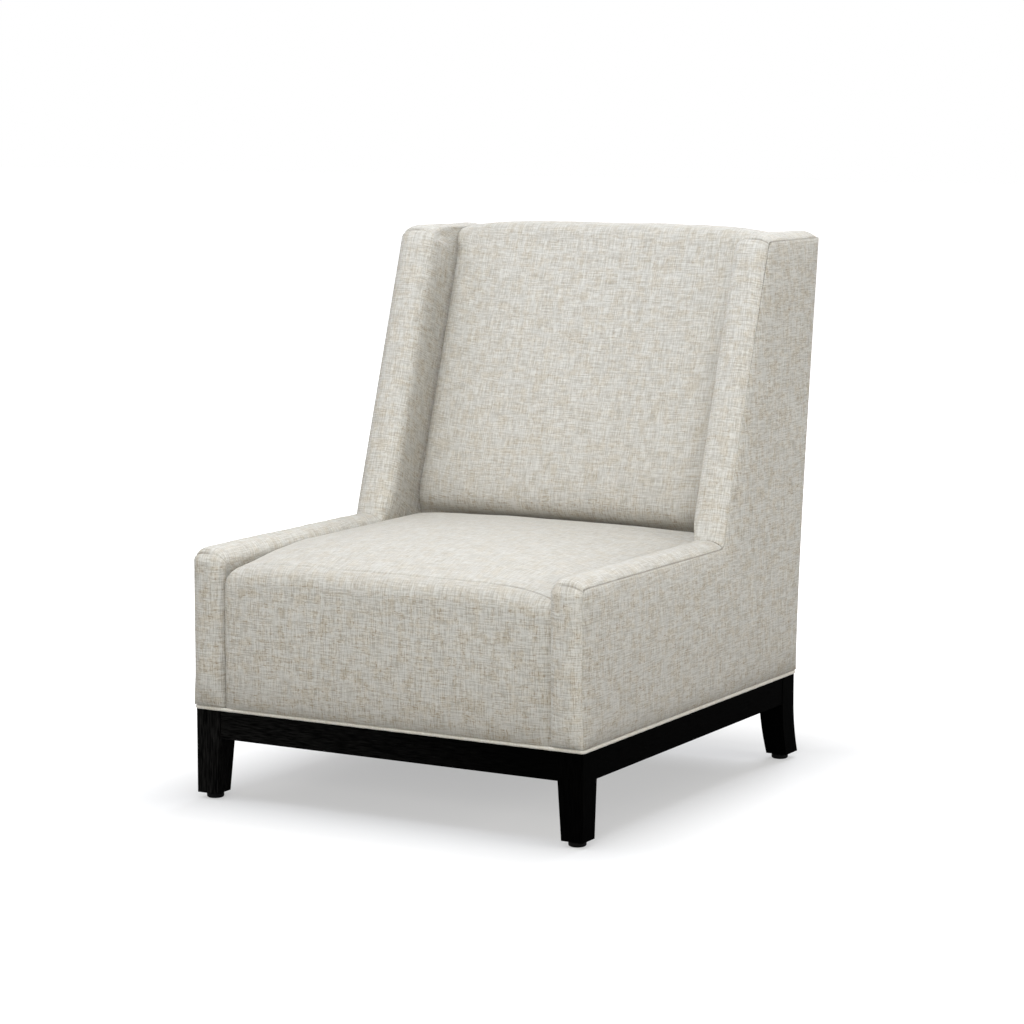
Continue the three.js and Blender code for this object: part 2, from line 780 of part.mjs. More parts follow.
// Front or rear apron with a tenon at each end.
function crossApron(centre) {
  const wide = legInner - clearance;
  const half = apronThickness / 2;
  const bar = toSolid(boxBetween([-wide, centre - half, apronBottom], [wide, centre + half, baseTop]));
  const tongue = toSolid(tenonBox(-wide - tenonLength, wide + tenonLength, centre, 0, true));
  return toGeometry(bar.add(tongue));
}

function sideApron() {
  const front = baseFront + legSize + clearance;
  const rear = baseRear - legSize - clearance;
  const half = apronThickness / 2;
  const bar = toSolid(boxBetween([sideApronCentre - half, front, apronBottom],
    [sideApronCentre + half, rear, baseTop]));
  const tongue = toSolid(tenonBox(front - tenonLength, rear + tenonLength, sideApronCentre, 0, false));
  return toGeometry(bar.add(tongue));
}

const boltX = halfWidth - boltSideInset;
const frontBoltDepth = frontRailFront + railThickness / 2;
const rearBoltDepth = rearRailRear - railThickness / 2;
const blockTop = baseTop - blockDrop;
const blockBottom = blockTop - blockThickness;

// Glue block across a right corner, notched round the leg, with the base bolt's hole.
function cornerBlock(isFront) {
  const inwards = isFront ? 1 : -1;
  const corner = isFront ? baseFront : baseRear;
  const apronCentre = isFront ? frontApronCentre : rearApronCentre;
  const apronFace = apronCentre + inwards * (apronThickness / 2 + clearance);
  const legFace = corner + inwards * (legSize + clearance);
  const sideFace = sideApronCentre - apronThickness / 2 - clearance;
  const legSide = legInner - clearance;
  const farX = baseHalfWidth - blockReach;
  const farY = corner + inwards * blockReach;
  const plan = [[farX, apronFace], [legSide, apronFace], [legSide, legFace], [sideFace, legFace],
    [sideFace, farY]];
  const ordered = isFront ? plan : [...plan].reverse();
  const shape = new THREE.Shape(ordered.map(([x, y]) => new THREE.Vector2(x, y)));
  const block = new THREE.ExtrudeGeometry(shape, { depth: blockThickness, bevelEnabled: false });
  const hole = cylinderUp(boltRadius + clearance, blockBottom - overrun, blockTop + overrun);
  hole.translate(boltX, isFront ? frontBoltDepth : rearBoltDepth, 0);
  return toGeometry(toSolid(block.translate(0, 0, blockBottom)).subtract(toSolid(hole)));
}

// Hexagon bolt, modelled with the underside of its head at height zero.
function baseBolt() {
  const reach = frameBottom + boltBite - blockBottom + clearance;
  const head = new THREE.CylinderGeometry(boltHeadRadius, boltHeadRadius, boltHeadHeight, 6);
  head.rotateX(Math.PI / 2).translate(0, 0, -boltHeadHeight / 2);
  const shank = cylinderUp(boltRadius, -boltHeadHeight / 2, reach);
  return toGeometry(toSolid(head).add(toSolid(shank)));
}

function glidePad() {
  const socket = stemRadius + clearance;
  const floor = padHeight - padSocketDepth;
  const profile = [[0, 0], [padRadius - padBevel, 0], [padRadius, padBevel],
    [padRadius, padHeight - padBevel], [padRadius - padBevel, padHeight], [socket, padHeight],
    [socket, floor], [0, floor]];
  return turned(profile, 2 * roundSegments);
}

function glideStem() {
  const low = padHeight - padSocketDepth + clearance;
  return cylinderUp(stemRadius, low, legBottom + stemReach);
}

function legInsert() {
  const bore = stemRadius + clearance;
  const profile = [[bore, 0], [insertRadius, 0], [insertRadius, insertLength],
    [bore, insertLength], [bore, 0]];
  return turned(profile, roundSegments);
}

// Turns a profile of [radius, height] points about the Z axis.
function turned(profile, segments) {
  const points = profile.map(([radius, height]) => new THREE.Vector2(radius, height));
  return new THREE.LatheGeometry(points, segments).rotateX(Math.PI / 2);
}

// Sewn cord round the foot of the upholstery: a rounded ring with chamfers for its round section.
function baseWelt() {
  const bevel = weltDiameter * weltBevelShare;
  const reach = halfWidth + weltProud - bevel;
  const front = bevel - weltProud;
  const rear = footDepth + weltProud - bevel;
  const shape = roundedPlan(reach, front, rear, weltCornerRadius);
  const band = weltDiameter - 2 * bevel;
  const hole = roundedPlan(reach - band, front + band, rear - band, weltCornerRadius - band);
  shape.holes.push(new THREE.Path(hole.getPoints(arcSteps)));
  const geometry = new THREE.ExtrudeGeometry(shape, {
    depth: band, bevelThickness: bevel, bevelSize: bevel, bevelSegments: 1, curveSegments: arcSteps,
  });
  return geometry.translate(0, 0, baseTop + clearance + bevel);
}

function roundedPlan(reach, front, rear, radius) {
  const shape = new THREE.Shape();
  shape.moveTo(-reach + radius, front);
  shape.lineTo(reach - radius, front);
  shape.absarc(reach - radius, front + radius, radius, -Math.PI / 2, 0, false);
  shape.absarc(reach - radius, rear - radius, radius, 0, Math.PI / 2, false);
  shape.absarc(-reach + radius, rear - radius, radius, Math.PI / 2, Math.PI, false);
  shape.absarc(-reach + radius, front + radius, radius, Math.PI, 1.5 * Math.PI, false);
  return shape;
}

function dustCover() {
  const wide = halfWidth - dustCoverMargin;
  const low = [-wide, dustCoverMargin, baseTop + clearance];
  const high = [wide, footDepth - dustCoverMargin, baseTop + clearance + dustCoverThickness];
  let sheet = toSolid(boxBetween(low, high));
  for (const side of [-1, 1]) {
    for (const depth of [frontBoltDepth, rearBoltDepth]) {
      const hole = cylinderUp(boltRadius + clearance, low[2] - overrun, high[2] + overrun);
      sheet = sheet.subtract(toSolid(hole.translate(side * boltX, depth, 0)));
    }
  }
  return toGeometry(sheet);
}

// Assembly

const chair = new THREE.Group();
const base = new THREE.Group();
const frame = new THREE.Group();
const upholstery = new THREE.Group();
chair.add(base, frame, upholstery);
chair.position.y = -centreDepth;

function place(group, name, geometry, material, position = [0, 0, 0]) {
  const mesh = new THREE.Mesh(geometry, material);
  mesh.name = name;
  mesh.position.set(...position);
  group.add(mesh);
}

// Places a right-hand piece and its mirrored left-hand twin.
function placePair(group, name, geometry, material) {
  place(group, `right_${name}`, geometry, material);
  place(group, `left_${name}`, mirrored(geometry), material);
}

place(base, 'front_apron', crossApron(frontApronCentre), darkTimber);
place(base, 'rear_apron', crossApron(rearApronCentre), darkTimber);
placePair(base, 'side_apron', sideApron(), darkTimber);

for (const isFront of [true, false]) {
  const end = isFront ? 'front' : 'rear';
  placePair(base, `${end}_leg`, leg(isFront), darkTimber);
  placePair(base, `${end}_corner_block`, cornerBlock(isFront), rawTimber);
  for (const side of [-1, 1]) {
    const name = `${side < 0 ? 'left' : 'right'}_${end}`;
    const under = [side * glideSide, glideDepth(isFront), 0];
    const bolt = [side * boltX, isFront ? frontBoltDepth : rearBoltDepth, blockBottom - clearance];
    place(base, `${name}_glide_pad`, glidePad(), blackPlastic, under);
    place(base, `${name}_glide_stem`, glideStem(), steel, under);
    place(base, `${name}_leg_insert`, legInsert(), steel, [under[0], under[1], legBottom]);
    place(base, `${name}_base_bolt`, baseBolt(), steel, bolt);
  }
}

place(frame, 'seat_front_rail', seatRail(frontRailFront, frontBoltDepth), rawTimber);
place(frame, 'seat_rear_rail', seatRail(rearRailRear - railThickness, rearBoltDepth), rawTimber);
placePair(frame, 'side_panel', sidePanel(), rawTimber);
placePair(frame, 'back_post', backPost(), rawTimber);
place(frame, 'back_top_rail', backRail(topRailFoot, topRailFoot + topRailHeight), rawTimber);
place(frame, 'back_lower_rail', backRail(lowerRailTop - lowerRailHeight, lowerRailTop), rawTimber);

for (let index = 0; index < springCount; index += 1) {
  const spacing = 2 * armInner / springCount;
  const centre = (index - (springCount - 1) / 2) * spacing;
  place(frame, `seat_spring_${index + 1}`, seatSpring(centre), steel);
}
place(frame, 'spring_tie_wire', tieWire(), steel);
place(frame, 'seat_decking', seatDecking(), webbingCloth);
for (let row = 0; row < webbingCount; row += 1) {
  place(frame, `back_webbing_${row + 1}`, backWebbing(row), webbingCloth);
}

place(upholstery, 'seat_foam', seatFoam(), foam);
place(upholstery, 'seat_cover', seatCover(), fabric);
place(upholstery, 'front_panel_cover', frontPanelCover(), fabric);
place(upholstery, 'back_foam', backFoam(), foam);
place(upholstery, 'inside_back_cover', backCover(), fabric);
place(upholstery, 'outside_back_cover', outsideBackCover(), fabric);
placePair(upholstery, 'side_padding', sidePadding(), foam);
placePair(upholstery, 'band_cover', bandCover(), fabric);
placePair(upholstery, 'flank_cover', flankCover(), fabric);
place(upholstery, 'base_welt', baseWelt(), piping);
place(upholstery, 'dust_cover', dustCover(), cambric);

export default chair;
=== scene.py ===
# %% [markdown]
# # Dressing a slipper chair
# The chair's frame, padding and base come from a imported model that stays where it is. This notebook
# sews the covers over it: linen-look cloth in panels that meet at seams, a crowned seat and back, a
# cord welt at the foot, and black stained timber underneath. Each cover is a surface worked out from
# a few measured sizes, so that a panel ends exactly where its neighbour starts.

import math

import bmesh
import bpy
import numpy as np
from mathutils import Matrix, Vector


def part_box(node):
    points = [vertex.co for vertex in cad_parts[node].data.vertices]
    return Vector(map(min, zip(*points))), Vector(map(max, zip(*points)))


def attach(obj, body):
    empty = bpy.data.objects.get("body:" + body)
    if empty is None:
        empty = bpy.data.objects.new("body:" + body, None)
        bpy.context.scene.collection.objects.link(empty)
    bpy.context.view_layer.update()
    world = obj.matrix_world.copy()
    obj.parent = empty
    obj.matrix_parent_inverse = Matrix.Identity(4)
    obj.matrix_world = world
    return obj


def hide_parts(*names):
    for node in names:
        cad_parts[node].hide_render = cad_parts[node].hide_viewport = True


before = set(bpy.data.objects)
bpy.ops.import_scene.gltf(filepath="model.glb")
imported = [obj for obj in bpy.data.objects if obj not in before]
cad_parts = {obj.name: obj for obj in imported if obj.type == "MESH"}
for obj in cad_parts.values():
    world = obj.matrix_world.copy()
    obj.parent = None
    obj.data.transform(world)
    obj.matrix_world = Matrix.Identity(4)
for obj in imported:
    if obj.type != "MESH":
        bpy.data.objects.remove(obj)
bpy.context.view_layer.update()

# %% [markdown]
# The photograph was taken with a long lens from a little above the seat, so upright legs stay upright
# and the sides barely converge. The camera's place and direction were solved from the chair's own
# straight edges. Building its axes by hand keeps the horizon level with no roll to undo.

# %% Camera
camera_place = Vector((2.541126, -4.438660, 1.137953))
camera_aim = Vector((-0.49258112, 0.85972418, -0.13504879))


def aimed(place, aim):
    """World matrix for something that looks along its own -Z: its axes are the aim turned round,
    the level direction at right angles to it, and the direction at right angles to both."""
    back = -aim.normalized()
    side = Vector((0, 0, 1)).cross(back).normalized()
    turn = Matrix((side, back.cross(side), back)).transposed()
    return Matrix.Translation(place) @ turn.to_4x4()


def added(name, data):
    """New object in the scene."""
    item = bpy.data.objects.new(name, data)
    bpy.context.scene.collection.objects.link(item)
    return item


camera = added("camera", bpy.data.cameras.new("camera"))
camera.data.sensor_width = 36
camera.data.lens = 110.0
camera.matrix_world = aimed(camera_place, camera_aim)
bpy.context.scene.camera = camera
print("camera:", round(camera.data.lens), "mm lens,", round(camera_place.length, 2), "m from the origin")

# %% [markdown]
# Every pattern below is arithmetic on numbers that vary over a surface. A socket is wrapped in a small
# class, so that `1 - mask * 2` reads as it does on paper and adds the Math nodes by itself. Any other
# node comes from one method, which takes its settings first and then what goes into its sockets.

# %% Shader arithmetic
class Wire:
    """A number that varies over a surface. Arithmetic on it adds Math nodes."""

    def __init__(self, socket):
        self.socket = socket

    def math(self, operation, *others, swap=False):
        node = self.socket.id_data.nodes.new("ShaderNodeMath")
        node.operation = operation
        values = (*others, self) if swap else (self, *others)
        for slot, value in zip(node.inputs, values):
            feed(slot, value)
        return Wire(node.outputs[0])

    def __add__(self, other):
        return self.math("ADD", other)

    def __sub__(self, other):
        return self.math("SUBTRACT", other)

    def __rsub__(self, other):
        return self.math("SUBTRACT", other, swap=True)

    def __mul__(self, other):
        return self.math("MULTIPLY", other)

    def __truediv__(self, other):
        return self.math("DIVIDE", other)

    def __abs__(self):
        return self.math("ABSOLUTE")

    __radd__ = __add__
    __rmul__ = __mul__

    def step(self, low, high):
        """0 below low, 1 above high, and an even ramp between, which may also fall."""
        ramp = (self - low) / (high - low)
        return ramp.math("MAXIMUM", 0.0).math("MINIMUM", 1.0)


def feed(slot, value):
    """Puts a link, a number or a colour into a node's input."""
    if isinstance(value, Wire):
        slot.id_data.links.new(value.socket, slot)
    elif isinstance(value, (tuple, list)) and slot.type == "RGBA" and len(value) == 3:
        slot.default_value = (*value, 1.0)
    else:
        slot.default_value = value


class Finish:
    """A material that is being written."""

    def __init__(self, name):
        self.material = bpy.data.materials.new(name)
        self.material.use_nodes = True
        self.tree = self.material.node_tree
        self.tree.nodes.clear()

    def node(self, kind, settings=None, values=None, out=0):
        """Adds one node: its settings go on first, then what its sockets take."""
        node = self.tree.nodes.new("ShaderNode" + kind)
        for name, setting in (settings or {}).items():
            setattr(node, name, setting)
        for key, value in (values or {}).items():
            feed(node.inputs[key], value)
        return Wire(node.outputs[out])

    def mix(self, share, first, second):
        """Colour that goes from first to second with share."""
        return self.node("Mix", {"data_type": "RGBA"}, {0: share, 6: first, 7: second}, out=2)

    def noise(self, vector, detail=2.0, roughness=0.5, flat=True):
        return self.node("TexNoise", {"noise_dimensions": "2D" if flat else "3D"},
                         {"Vector": vector, "Scale": 1.0, "Detail": detail, "Roughness": roughness})

    def stretched(self, vector, per_x, per_y, per_z=0.0, shift=0.0):
        """The same coordinates counted in steps per metre along each axis, moved by a shift."""
        return self.node("Mapping", None, {
            "Vector": vector, "Location": (shift, 0.37 * shift, 0.0), "Scale": (per_x, per_y, per_z)})

    def place(self):
        """The piece's own coordinates in metres."""
        return self.node("TexCoord", out=3)

    def cloth(self):
        """The panel's UV map, in metres as it was cut."""
        return self.node("UVMap", {"uv_map": "cloth"})

    def mark(self, name):
        """A number painted on the mesh's points."""
        return self.node("Attribute", {"attribute_name": name}, out=2)

    def parts(self, vector):
        """The three numbers of a vector."""
        return [Wire(slot) for slot in self.node("SeparateXYZ", None, {"Vector": vector}).socket.node.outputs]

    def grain(self, across, lengthwise, along, detail, roughness=0.5, shift=0.0):
        """Noise in the piece's own coordinates, drawn out along x, y or z."""
        steps = [across] * 3
        steps["xyz".index(along)] = lengthwise
        return self.noise(self.stretched(self.place(), *steps, shift=shift), detail, roughness, flat=False)

    def finish(self, surface):
        """Ends the tree in the material's output."""
        output = self.tree.nodes.new("ShaderNodeOutputMaterial")
        self.tree.links.new(surface.socket, output.inputs["Surface"])
        return self.material


def painted(finish, colour, roughness, height=None, relief=0.0003, strength=0.5, **more):
    """Principled surface whose colour, roughness and bump may vary; the rest is set on its sockets."""
    values = {"Base Color": colour, "Roughness": roughness}
    if height is not None:
        values["Normal"] = finish.node(
            "Bump", None, {"Height": height, "Distance": relief, "Strength": strength})
    values.update({name.replace("_", " "): value for name, value in more.items()})
    return finish.finish(finish.node("BsdfPrincipled", None, values))

# %% [markdown]
# The cover is a linen-look plain weave in oatmeal. What makes it read as linen is not the weave, which
# is finer than a pixel from here, but its uneven yarn: some threads run pale or grey for a few
# centimetres, and short brown slubs sit in both directions. So pairs of noises are stretched along the
# two thread directions, cut into streaks and slubs, and laid over an even checker of over and under.
# They read a UV map in metres, so the threads follow each panel as it was cut. Two numbers painted on
# the mesh help: a painted shade darkens the colour in seams and in places that little light reaches, and
# `level` calms the pattern on faces that look up, where broad light from above washes it out.

# %% Cover cloth
def linen(name, pale, grey, slub, tan, cool, contrast=1.0):
    finish = Finish(name)
    cloth = finish.cloth()

    def threads(slow, fast, weft_shift, warp_shift, *detail):
        """A pair of noises, one drawn out along each thread direction."""
        return (finish.noise(finish.stretched(cloth, slow, fast, shift=weft_shift), *detail),
                finish.noise(finish.stretched(cloth, fast, slow, shift=warp_shift), *detail))

    weft, warp = threads(34, 560, 0.0, 11.3, 3.0, 0.6)
    weft_fine, warp_fine = threads(120, 1000, 5.1, 7.7, 1.0)
    pale_weft, pale_warp = threads(20, 520, 41.7, 53.9, 1.0)
    slub_weft, slub_warp = threads(95, 560, 23.1, 31.7, 1.0)
    warm_weft, warm_warp = threads(26, 90, 17.3, 61.1, 2.0, 0.6)
    cloud = finish.noise(finish.stretched(cloth, 28, 28, shift=3.9), 2.0)
    warmth = (warm_weft + warm_warp) * 0.5

    across, along, _ = finish.parts(cloth)
    cell = (across * (math.pi / 0.00095)).math("SINE") * (along * (math.pi / 0.00100)).math("SINE")
    over = cell.step(-0.15, 0.15)
    greyness = weft.step(0.41, 0.67) * (1 - over) + warp.step(0.41, 0.67) * over
    even = greyness + (weft + warp - 1.0) * 1.8 + (weft_fine + warp_fine - 1.0) * 1.15
    even = even + (cloud - 0.5) * 0.45
    bright = pale_weft.step(0.63, 0.71).math("MAXIMUM", pale_warp.step(0.64, 0.72))

    level = finish.mark("level")
    calm = (1.0 - level.math("SQRT") * 0.49 - level.step(0.08, 0.2) * 0.15) * contrast
    tint = calm.math("SQRT")
    mean_grey = 0.72
    dark = (even - bright * 0.45 - mean_grey) * calm + mean_grey
    flecks = slub_weft.step(0.62, 0.70).math("MAXIMUM", slub_warp.step(0.63, 0.71))
    flecks = flecks * warmth.step(0.42, 0.58) * calm * 0.65
    colour = finish.mix(dark.step(0.0, 1.0), pale, grey)
    colour = finish.mix(warmth.step(0.50, 0.62) * tint * 0.41, colour, tan)
    colour = finish.mix(warmth.step(0.50, 0.38) * tint * 0.32, colour, cool)
    colour = finish.mix(flecks, colour, slub)
    # Painted shade: the colour goes towards dark brown as far as the mesh's painted shade says.
    colour = finish.mix(finish.mark("painted_shade") * 0.8, colour, (0.16, 0.14, 0.11))
    height = abs(cell).math("SQRT") * 0.35 + (weft_fine + warp_fine) * 0.8 + (weft + warp) * 1.2
    height = (height + bright * 0.4) * calm * calm
    return painted(finish, colour, 0.92, height, relief=0.0005, strength=0.6,
                   Sheen_Weight=0.1, Sheen_Roughness=0.5, Specular_IOR_Level=0.2)


cover_cloth = linen("oatmeal_linen", (0.690, 0.678, 0.632), (0.418, 0.389, 0.334), (0.27, 0.21, 0.14),
                    (0.55, 0.485, 0.375), (0.545, 0.55, 0.53))
# Painted highlight: the welt's cloth is paler than the cover's, standing in for the light on the round cord.
welt_cloth = linen("welt_linen", (0.78, 0.76, 0.70), (0.60, 0.575, 0.51), (0.42, 0.35, 0.25),
                   (0.62, 0.56, 0.45), (0.60, 0.60, 0.58), 0.6)
print("cloths:", cover_cloth.name, welt_cloth.name)

# %% [markdown]
# The base is open-grained timber, stained black. The stain hides the colour of the grain but not its
# pores and its figure, which still catch the light as fine dark and bright lines along each piece. Both
# are noises drawn out along the piece's length, in object coordinates, so they run through a corner as
# real grain does. On the chair's left the figure's lines are painted brighter: a painted highlight.

# %% Timber and metal
def black_timber(name, along):
    """Black stained timber whose grain runs along x, y or z."""
    finish = Finish(name)
    pores = finish.grain(900, 26, along, 3.0, 0.6)
    figure = finish.grain(820, 45, along, 2.0, shift=4.2)
    open_pores = pores.step(0.56, 0.68)
    # Painted highlight: the figure's bright lines grow brighter towards the chair's left.
    painted_highlight_left = finish.parts(finish.place())[0].step(0.24, -0.34)
    streak = figure.step(0.36, 0.72) * (0.08 + painted_highlight_left * 0.92)
    colour = finish.mix(streak, (0.0006, 0.0006, 0.0006), (0.0150, 0.0147, 0.0142))
    colour = finish.mix(open_pores, colour, (0.0003, 0.0003, 0.0003))
    roughness = 0.46 + open_pores * 0.25 + figure * 0.12
    height = 1.0 - open_pores + figure * 0.4
    return painted(finish, colour, roughness, height, relief=0.0004, strength=0.6, IOR=1.02)


def raw_timber(name, light, dark, along, layers=0.0):
    """Unfinished hardwood, or plywood where layers counts its plies per metre of width."""
    finish = Finish(name)
    grain = finish.grain(240, 9, along, 4.0, 0.6)
    share = grain.step(0.3, 0.72)
    if layers:
        plies = (finish.parts(finish.place())[0] * (math.pi * layers)).math("SINE")
        share = share * 0.5 + plies.step(-0.2, 0.2) * 0.35
    colour = finish.mix(share, light, dark)
    return painted(finish, colour, 0.62 + grain * 0.2, grain, relief=0.0003, strength=0.4)


def plain_metal(name, colour, roughness):
    finish = Finish(name)
    marks = finish.grain(320, 320, "x", 3.0)
    return painted(finish, colour, roughness + (marks - 0.5) * 0.18, marks, relief=0.0001,
                   strength=0.2, Metallic=1.0)


def moulded_plastic(name, colour):
    finish = Finish(name)
    grit = finish.grain(2600, 2600, "x", 1.0)
    return painted(finish, colour, 0.44 + grit * 0.16, grit, relief=0.00008, strength=0.5, IOR=1.12)


timber_x = black_timber("black_timber_across", "x")
timber_y = black_timber("black_timber_along", "y")
timber_z = black_timber("black_timber_upright", "z")
raw_hardwood = (0.52, 0.34, 0.18), (0.33, 0.19, 0.09)
hardwood_x = raw_timber("hardwood_across", *raw_hardwood, "x")
hardwood_z = raw_timber("hardwood_upright", *raw_hardwood, "z")
plywood = raw_timber("plywood", (0.60, 0.43, 0.24), (0.42, 0.27, 0.13), "z", layers=330)
steel = plain_metal("zinc_steel", (0.55, 0.56, 0.57), 0.34)
spring_steel = plain_metal("spring_steel", (0.30, 0.30, 0.31), 0.42)
black_plastic = moulded_plastic("black_plastic", (0.004, 0.004, 0.0042))
print("timber, metal and plastic finishes made")

# %% [markdown]
# Under the seat hangs a black dust cloth of pressed fibres, and inside the back are straps of jute.
# Both are hidden from most views, but a chair that is turned over should still look right.

# %% Dust cloth and webbing
def pressed_fibre(name, colour):
    finish = Finish(name)
    fibres = finish.noise(finish.stretched(finish.cloth(), 900, 1500), 4.0, 0.7)
    dimples = abs((finish.parts(finish.cloth())[0] * 2600.0).math("SINE"))
    shade = finish.mix(fibres, tuple(0.6 * part for part in colour), tuple(1.6 * part for part in colour))
    return painted(finish, shade, 0.85, fibres + dimples * 0.3, relief=0.0002, strength=0.5)


def jute(name, light, dark, stripe):
    finish = Finish(name)
    across, along, _ = finish.parts(finish.cloth())
    ribs = abs((across * (math.pi / 0.0022)).math("SINE"))
    picks = abs((along * (math.pi / 0.0016)).math("SINE"))
    hairs = finish.noise(finish.stretched(finish.cloth(), 700, 700), 3.0)
    line = abs(along - 0.012).step(0.0024, 0.0016)
    colour = finish.mix(line * 0.8, finish.mix(hairs, light, dark), stripe)
    return painted(finish, colour, 0.9, ribs * picks + hairs * 0.4, relief=0.0005, strength=0.7)


dust_cloth = pressed_fibre("dust_cloth", (0.012, 0.012, 0.013))
strap_cloth = jute("strap_cloth", (0.20, 0.16, 0.11), (0.11, 0.085, 0.055), (0.25, 0.05, 0.03))
print("under-cloths made")

# %% [markdown]
# All shapes are worked out in millimetres, with depth counted from the front seams, as an upholsterer
# would measure them, and turned into metres in one place. A grid of points becomes a mesh of four-sided
# faces, and its cloth coordinates go along as a UV map. Each panel is cut from its own place on the
# bolt, so that no two show the same slubs.

# %% Sizes
half_width = 355.5
outer_seam = half_width - 1.7
arm_inner = 297.5
cushion_half = 297.2
cover_foot = 153.6
arm_height = 396.0
wing_height = 884.0
crook_depth = 477.0
wing_top_depth = 636.3
foot_depth = 756.3
top_depth = 827.5
rear_bend = 319.0
centre_depth = (top_depth - 11.0) / 2
underside_width = 0.985
cut_at = {"seat": 0.11, "band": 0.3, "back": 0.57, "flank": 0.9, "rear": 2.3}
rake = (wing_top_depth - crook_depth) / (wing_height - arm_height)
print("the wing leans back", round(math.degrees(math.atan(rake)), 1), "degrees")

# %% Curves and patterns
def clustered(low, high, count, squeeze=0.75):
    """Places from low to high that crowd towards both ends, where the seams are."""
    even = np.linspace(-1, 1, count)
    bent = (1 - squeeze) * even + squeeze * np.sin(even * math.pi / 2)
    return low + (high - low) * (bent + 1) / 2


def ripple(first, second, wave, seed):
    """Soft unevenness from -1 to 1: the mean of seven sines that run in seeded directions."""
    dice = np.random.default_rng(seed)
    angles = dice.uniform(0, 2 * math.pi, (7, 2))
    pace = 2 * math.pi / (wave * dice.uniform(0.7, 1.5, 7))
    total = 0
    for (turn, phase), speed in zip(angles, pace):
        total = total + np.sin((np.cos(turn) * first + np.sin(turn) * second) * speed + phase)
    return total / 3.5


def smoothstep(value, low, high):
    share = np.clip((value - low) / (high - low), 0, 1)
    return share * share * (3 - 2 * share)


def between(value, low, full, still, high):
    """1 from full to still, easing to 0 at low and at high."""
    return smoothstep(value, low, full) * (1 - smoothstep(value, still, high))


def fade(gap, reach):
    """1 where there is no gap, and less by the factor e for each reach further off."""
    return np.exp(-gap / reach)


def bump(value, width, middle=0.0):
    """1 at the middle, and less on both sides as e to the minus square of how many widths off."""
    return np.exp(-((value - middle) / width) ** 2)


def rear_depth(height):
    """Depth of the rear face: upright below, then a parabola into the raked top."""
    pull = rear_bend - cover_foot
    curve = wing_height - 2 * rear_bend + cover_foot
    rise = np.asarray(height, float) - cover_foot
    share = (np.sqrt(np.maximum(pull * pull + curve * rise, 0)) - pull) / curve
    return foot_depth + (top_depth - foot_depth) * share * np.abs(share)


def wing_front(height):
    return crook_depth + rake * (height - arm_height)


print("rear face at the top:", round(float(rear_depth(wing_height)), 1), "mm deep")

# %% Points and lines
def coords(*parts):
    """Coordinates side by side along a last axis, each repeated to fill the shape that all make."""
    return np.stack(np.broadcast_arrays(*parts), axis=-1)


def unit(vectors):
    return vectors / np.linalg.norm(vectors, axis=-1, keepdims=True)


def circle(count):
    return np.linspace(0, 2 * math.pi, count + 1)[:-1]


def lengths(points):
    """Length along the last-but-one axis of a row of points, from its start."""
    steps = np.linalg.norm(np.diff(points, axis=-2), axis=-1)
    start = np.zeros(steps.shape[:-1] + (1,))
    return np.concatenate([start, np.cumsum(steps, axis=-1)], axis=-1)


def read_off(spots, knots, table):
    """A table of rows, one at each knot, read straight in between at the spots."""
    return coords(*[np.interp(spots, knots, column) for column in table.T])


def soften(points, passes):
    """Rounds the rows of an array along axis 1 by repeated averaging of neighbours; ends stay."""
    points = points.copy()
    for _ in range(passes):
        points[:, 1:-1] = (points[:, :-2] + 2 * points[:, 1:-1] + points[:, 2:]) / 4
    return points


print("curves, points and lines ready")

# %% Meshes
def metres(points):
    """Millimetres with depth from the front seams, as metres about the chair's centre."""
    points = np.array(points, float)
    points[..., 1] -= centre_depth
    return points * 0.001


def mark_mesh(mesh, name, values, kind="FLOAT", domain="POINT"):
    mesh.attributes.new(name, kind, domain).data.foreach_set("value", values)


def modified(piece, name, kind, **settings):
    """Adds a modifier with its settings."""
    modifier = piece.modifiers.new(name, kind)
    for key, value in settings.items():
        setattr(modifier, key, value)
    return modifier


def mesh_piece(name, points, quads, cloth=None, painted_shade=None):
    """Object with four-sided faces. cloth gives a UV pair in metres for each point, and the painted shade
    gives how dark each point is painted, from 0 to 1, in a seam or where little light reaches. The
    attribute level says how far a cloth's point faces up: its normal's height, where that is above 0. Open
    rims are marked sharp, so that a wall added there doesn't bend the shading of the face."""
    mesh = bpy.data.meshes.new(name)
    points = np.asarray(points, np.float32).reshape(-1, 3)
    quads = np.asarray(quads, np.int32).reshape(-1, 4)
    mesh.vertices.add(len(points))
    mesh.vertices.foreach_set("co", points.ravel())
    mesh.loops.add(quads.size)
    mesh.loops.foreach_set("vertex_index", quads.ravel())
    mesh.polygons.add(len(quads))
    mesh.polygons.foreach_set("loop_start", np.arange(0, quads.size, 4, dtype=np.int32))
    mesh.polygons.foreach_set("use_smooth", np.ones(len(quads), bool))
    if cloth is not None:
        layer = mesh.uv_layers.new(name="cloth")
        values = np.asarray(cloth, np.float32).reshape(-1, 2)[quads.ravel()]
        layer.data.foreach_set("uv", values.ravel())
    if painted_shade is not None:
        mark_mesh(mesh, "painted_shade", np.asarray(painted_shade, np.float32).ravel())
    mesh.update(calc_edges=True)
    mesh.validate()
    if cloth is not None:
        facing = np.empty(len(points) * 3, np.float32)
        mesh.vertex_normals.foreach_get("vector", facing)
        mark_mesh(mesh, "level", np.clip(facing[2::3], 0, 1))
    edge_of = np.empty(len(mesh.loops), np.int32)
    mesh.loops.foreach_get("edge_index", edge_of)
    rim = np.bincount(edge_of, minlength=len(mesh.edges)) == 1
    mark_mesh(mesh, "sharp_edge", rim, "BOOLEAN", "EDGE")
    return added(name, mesh)


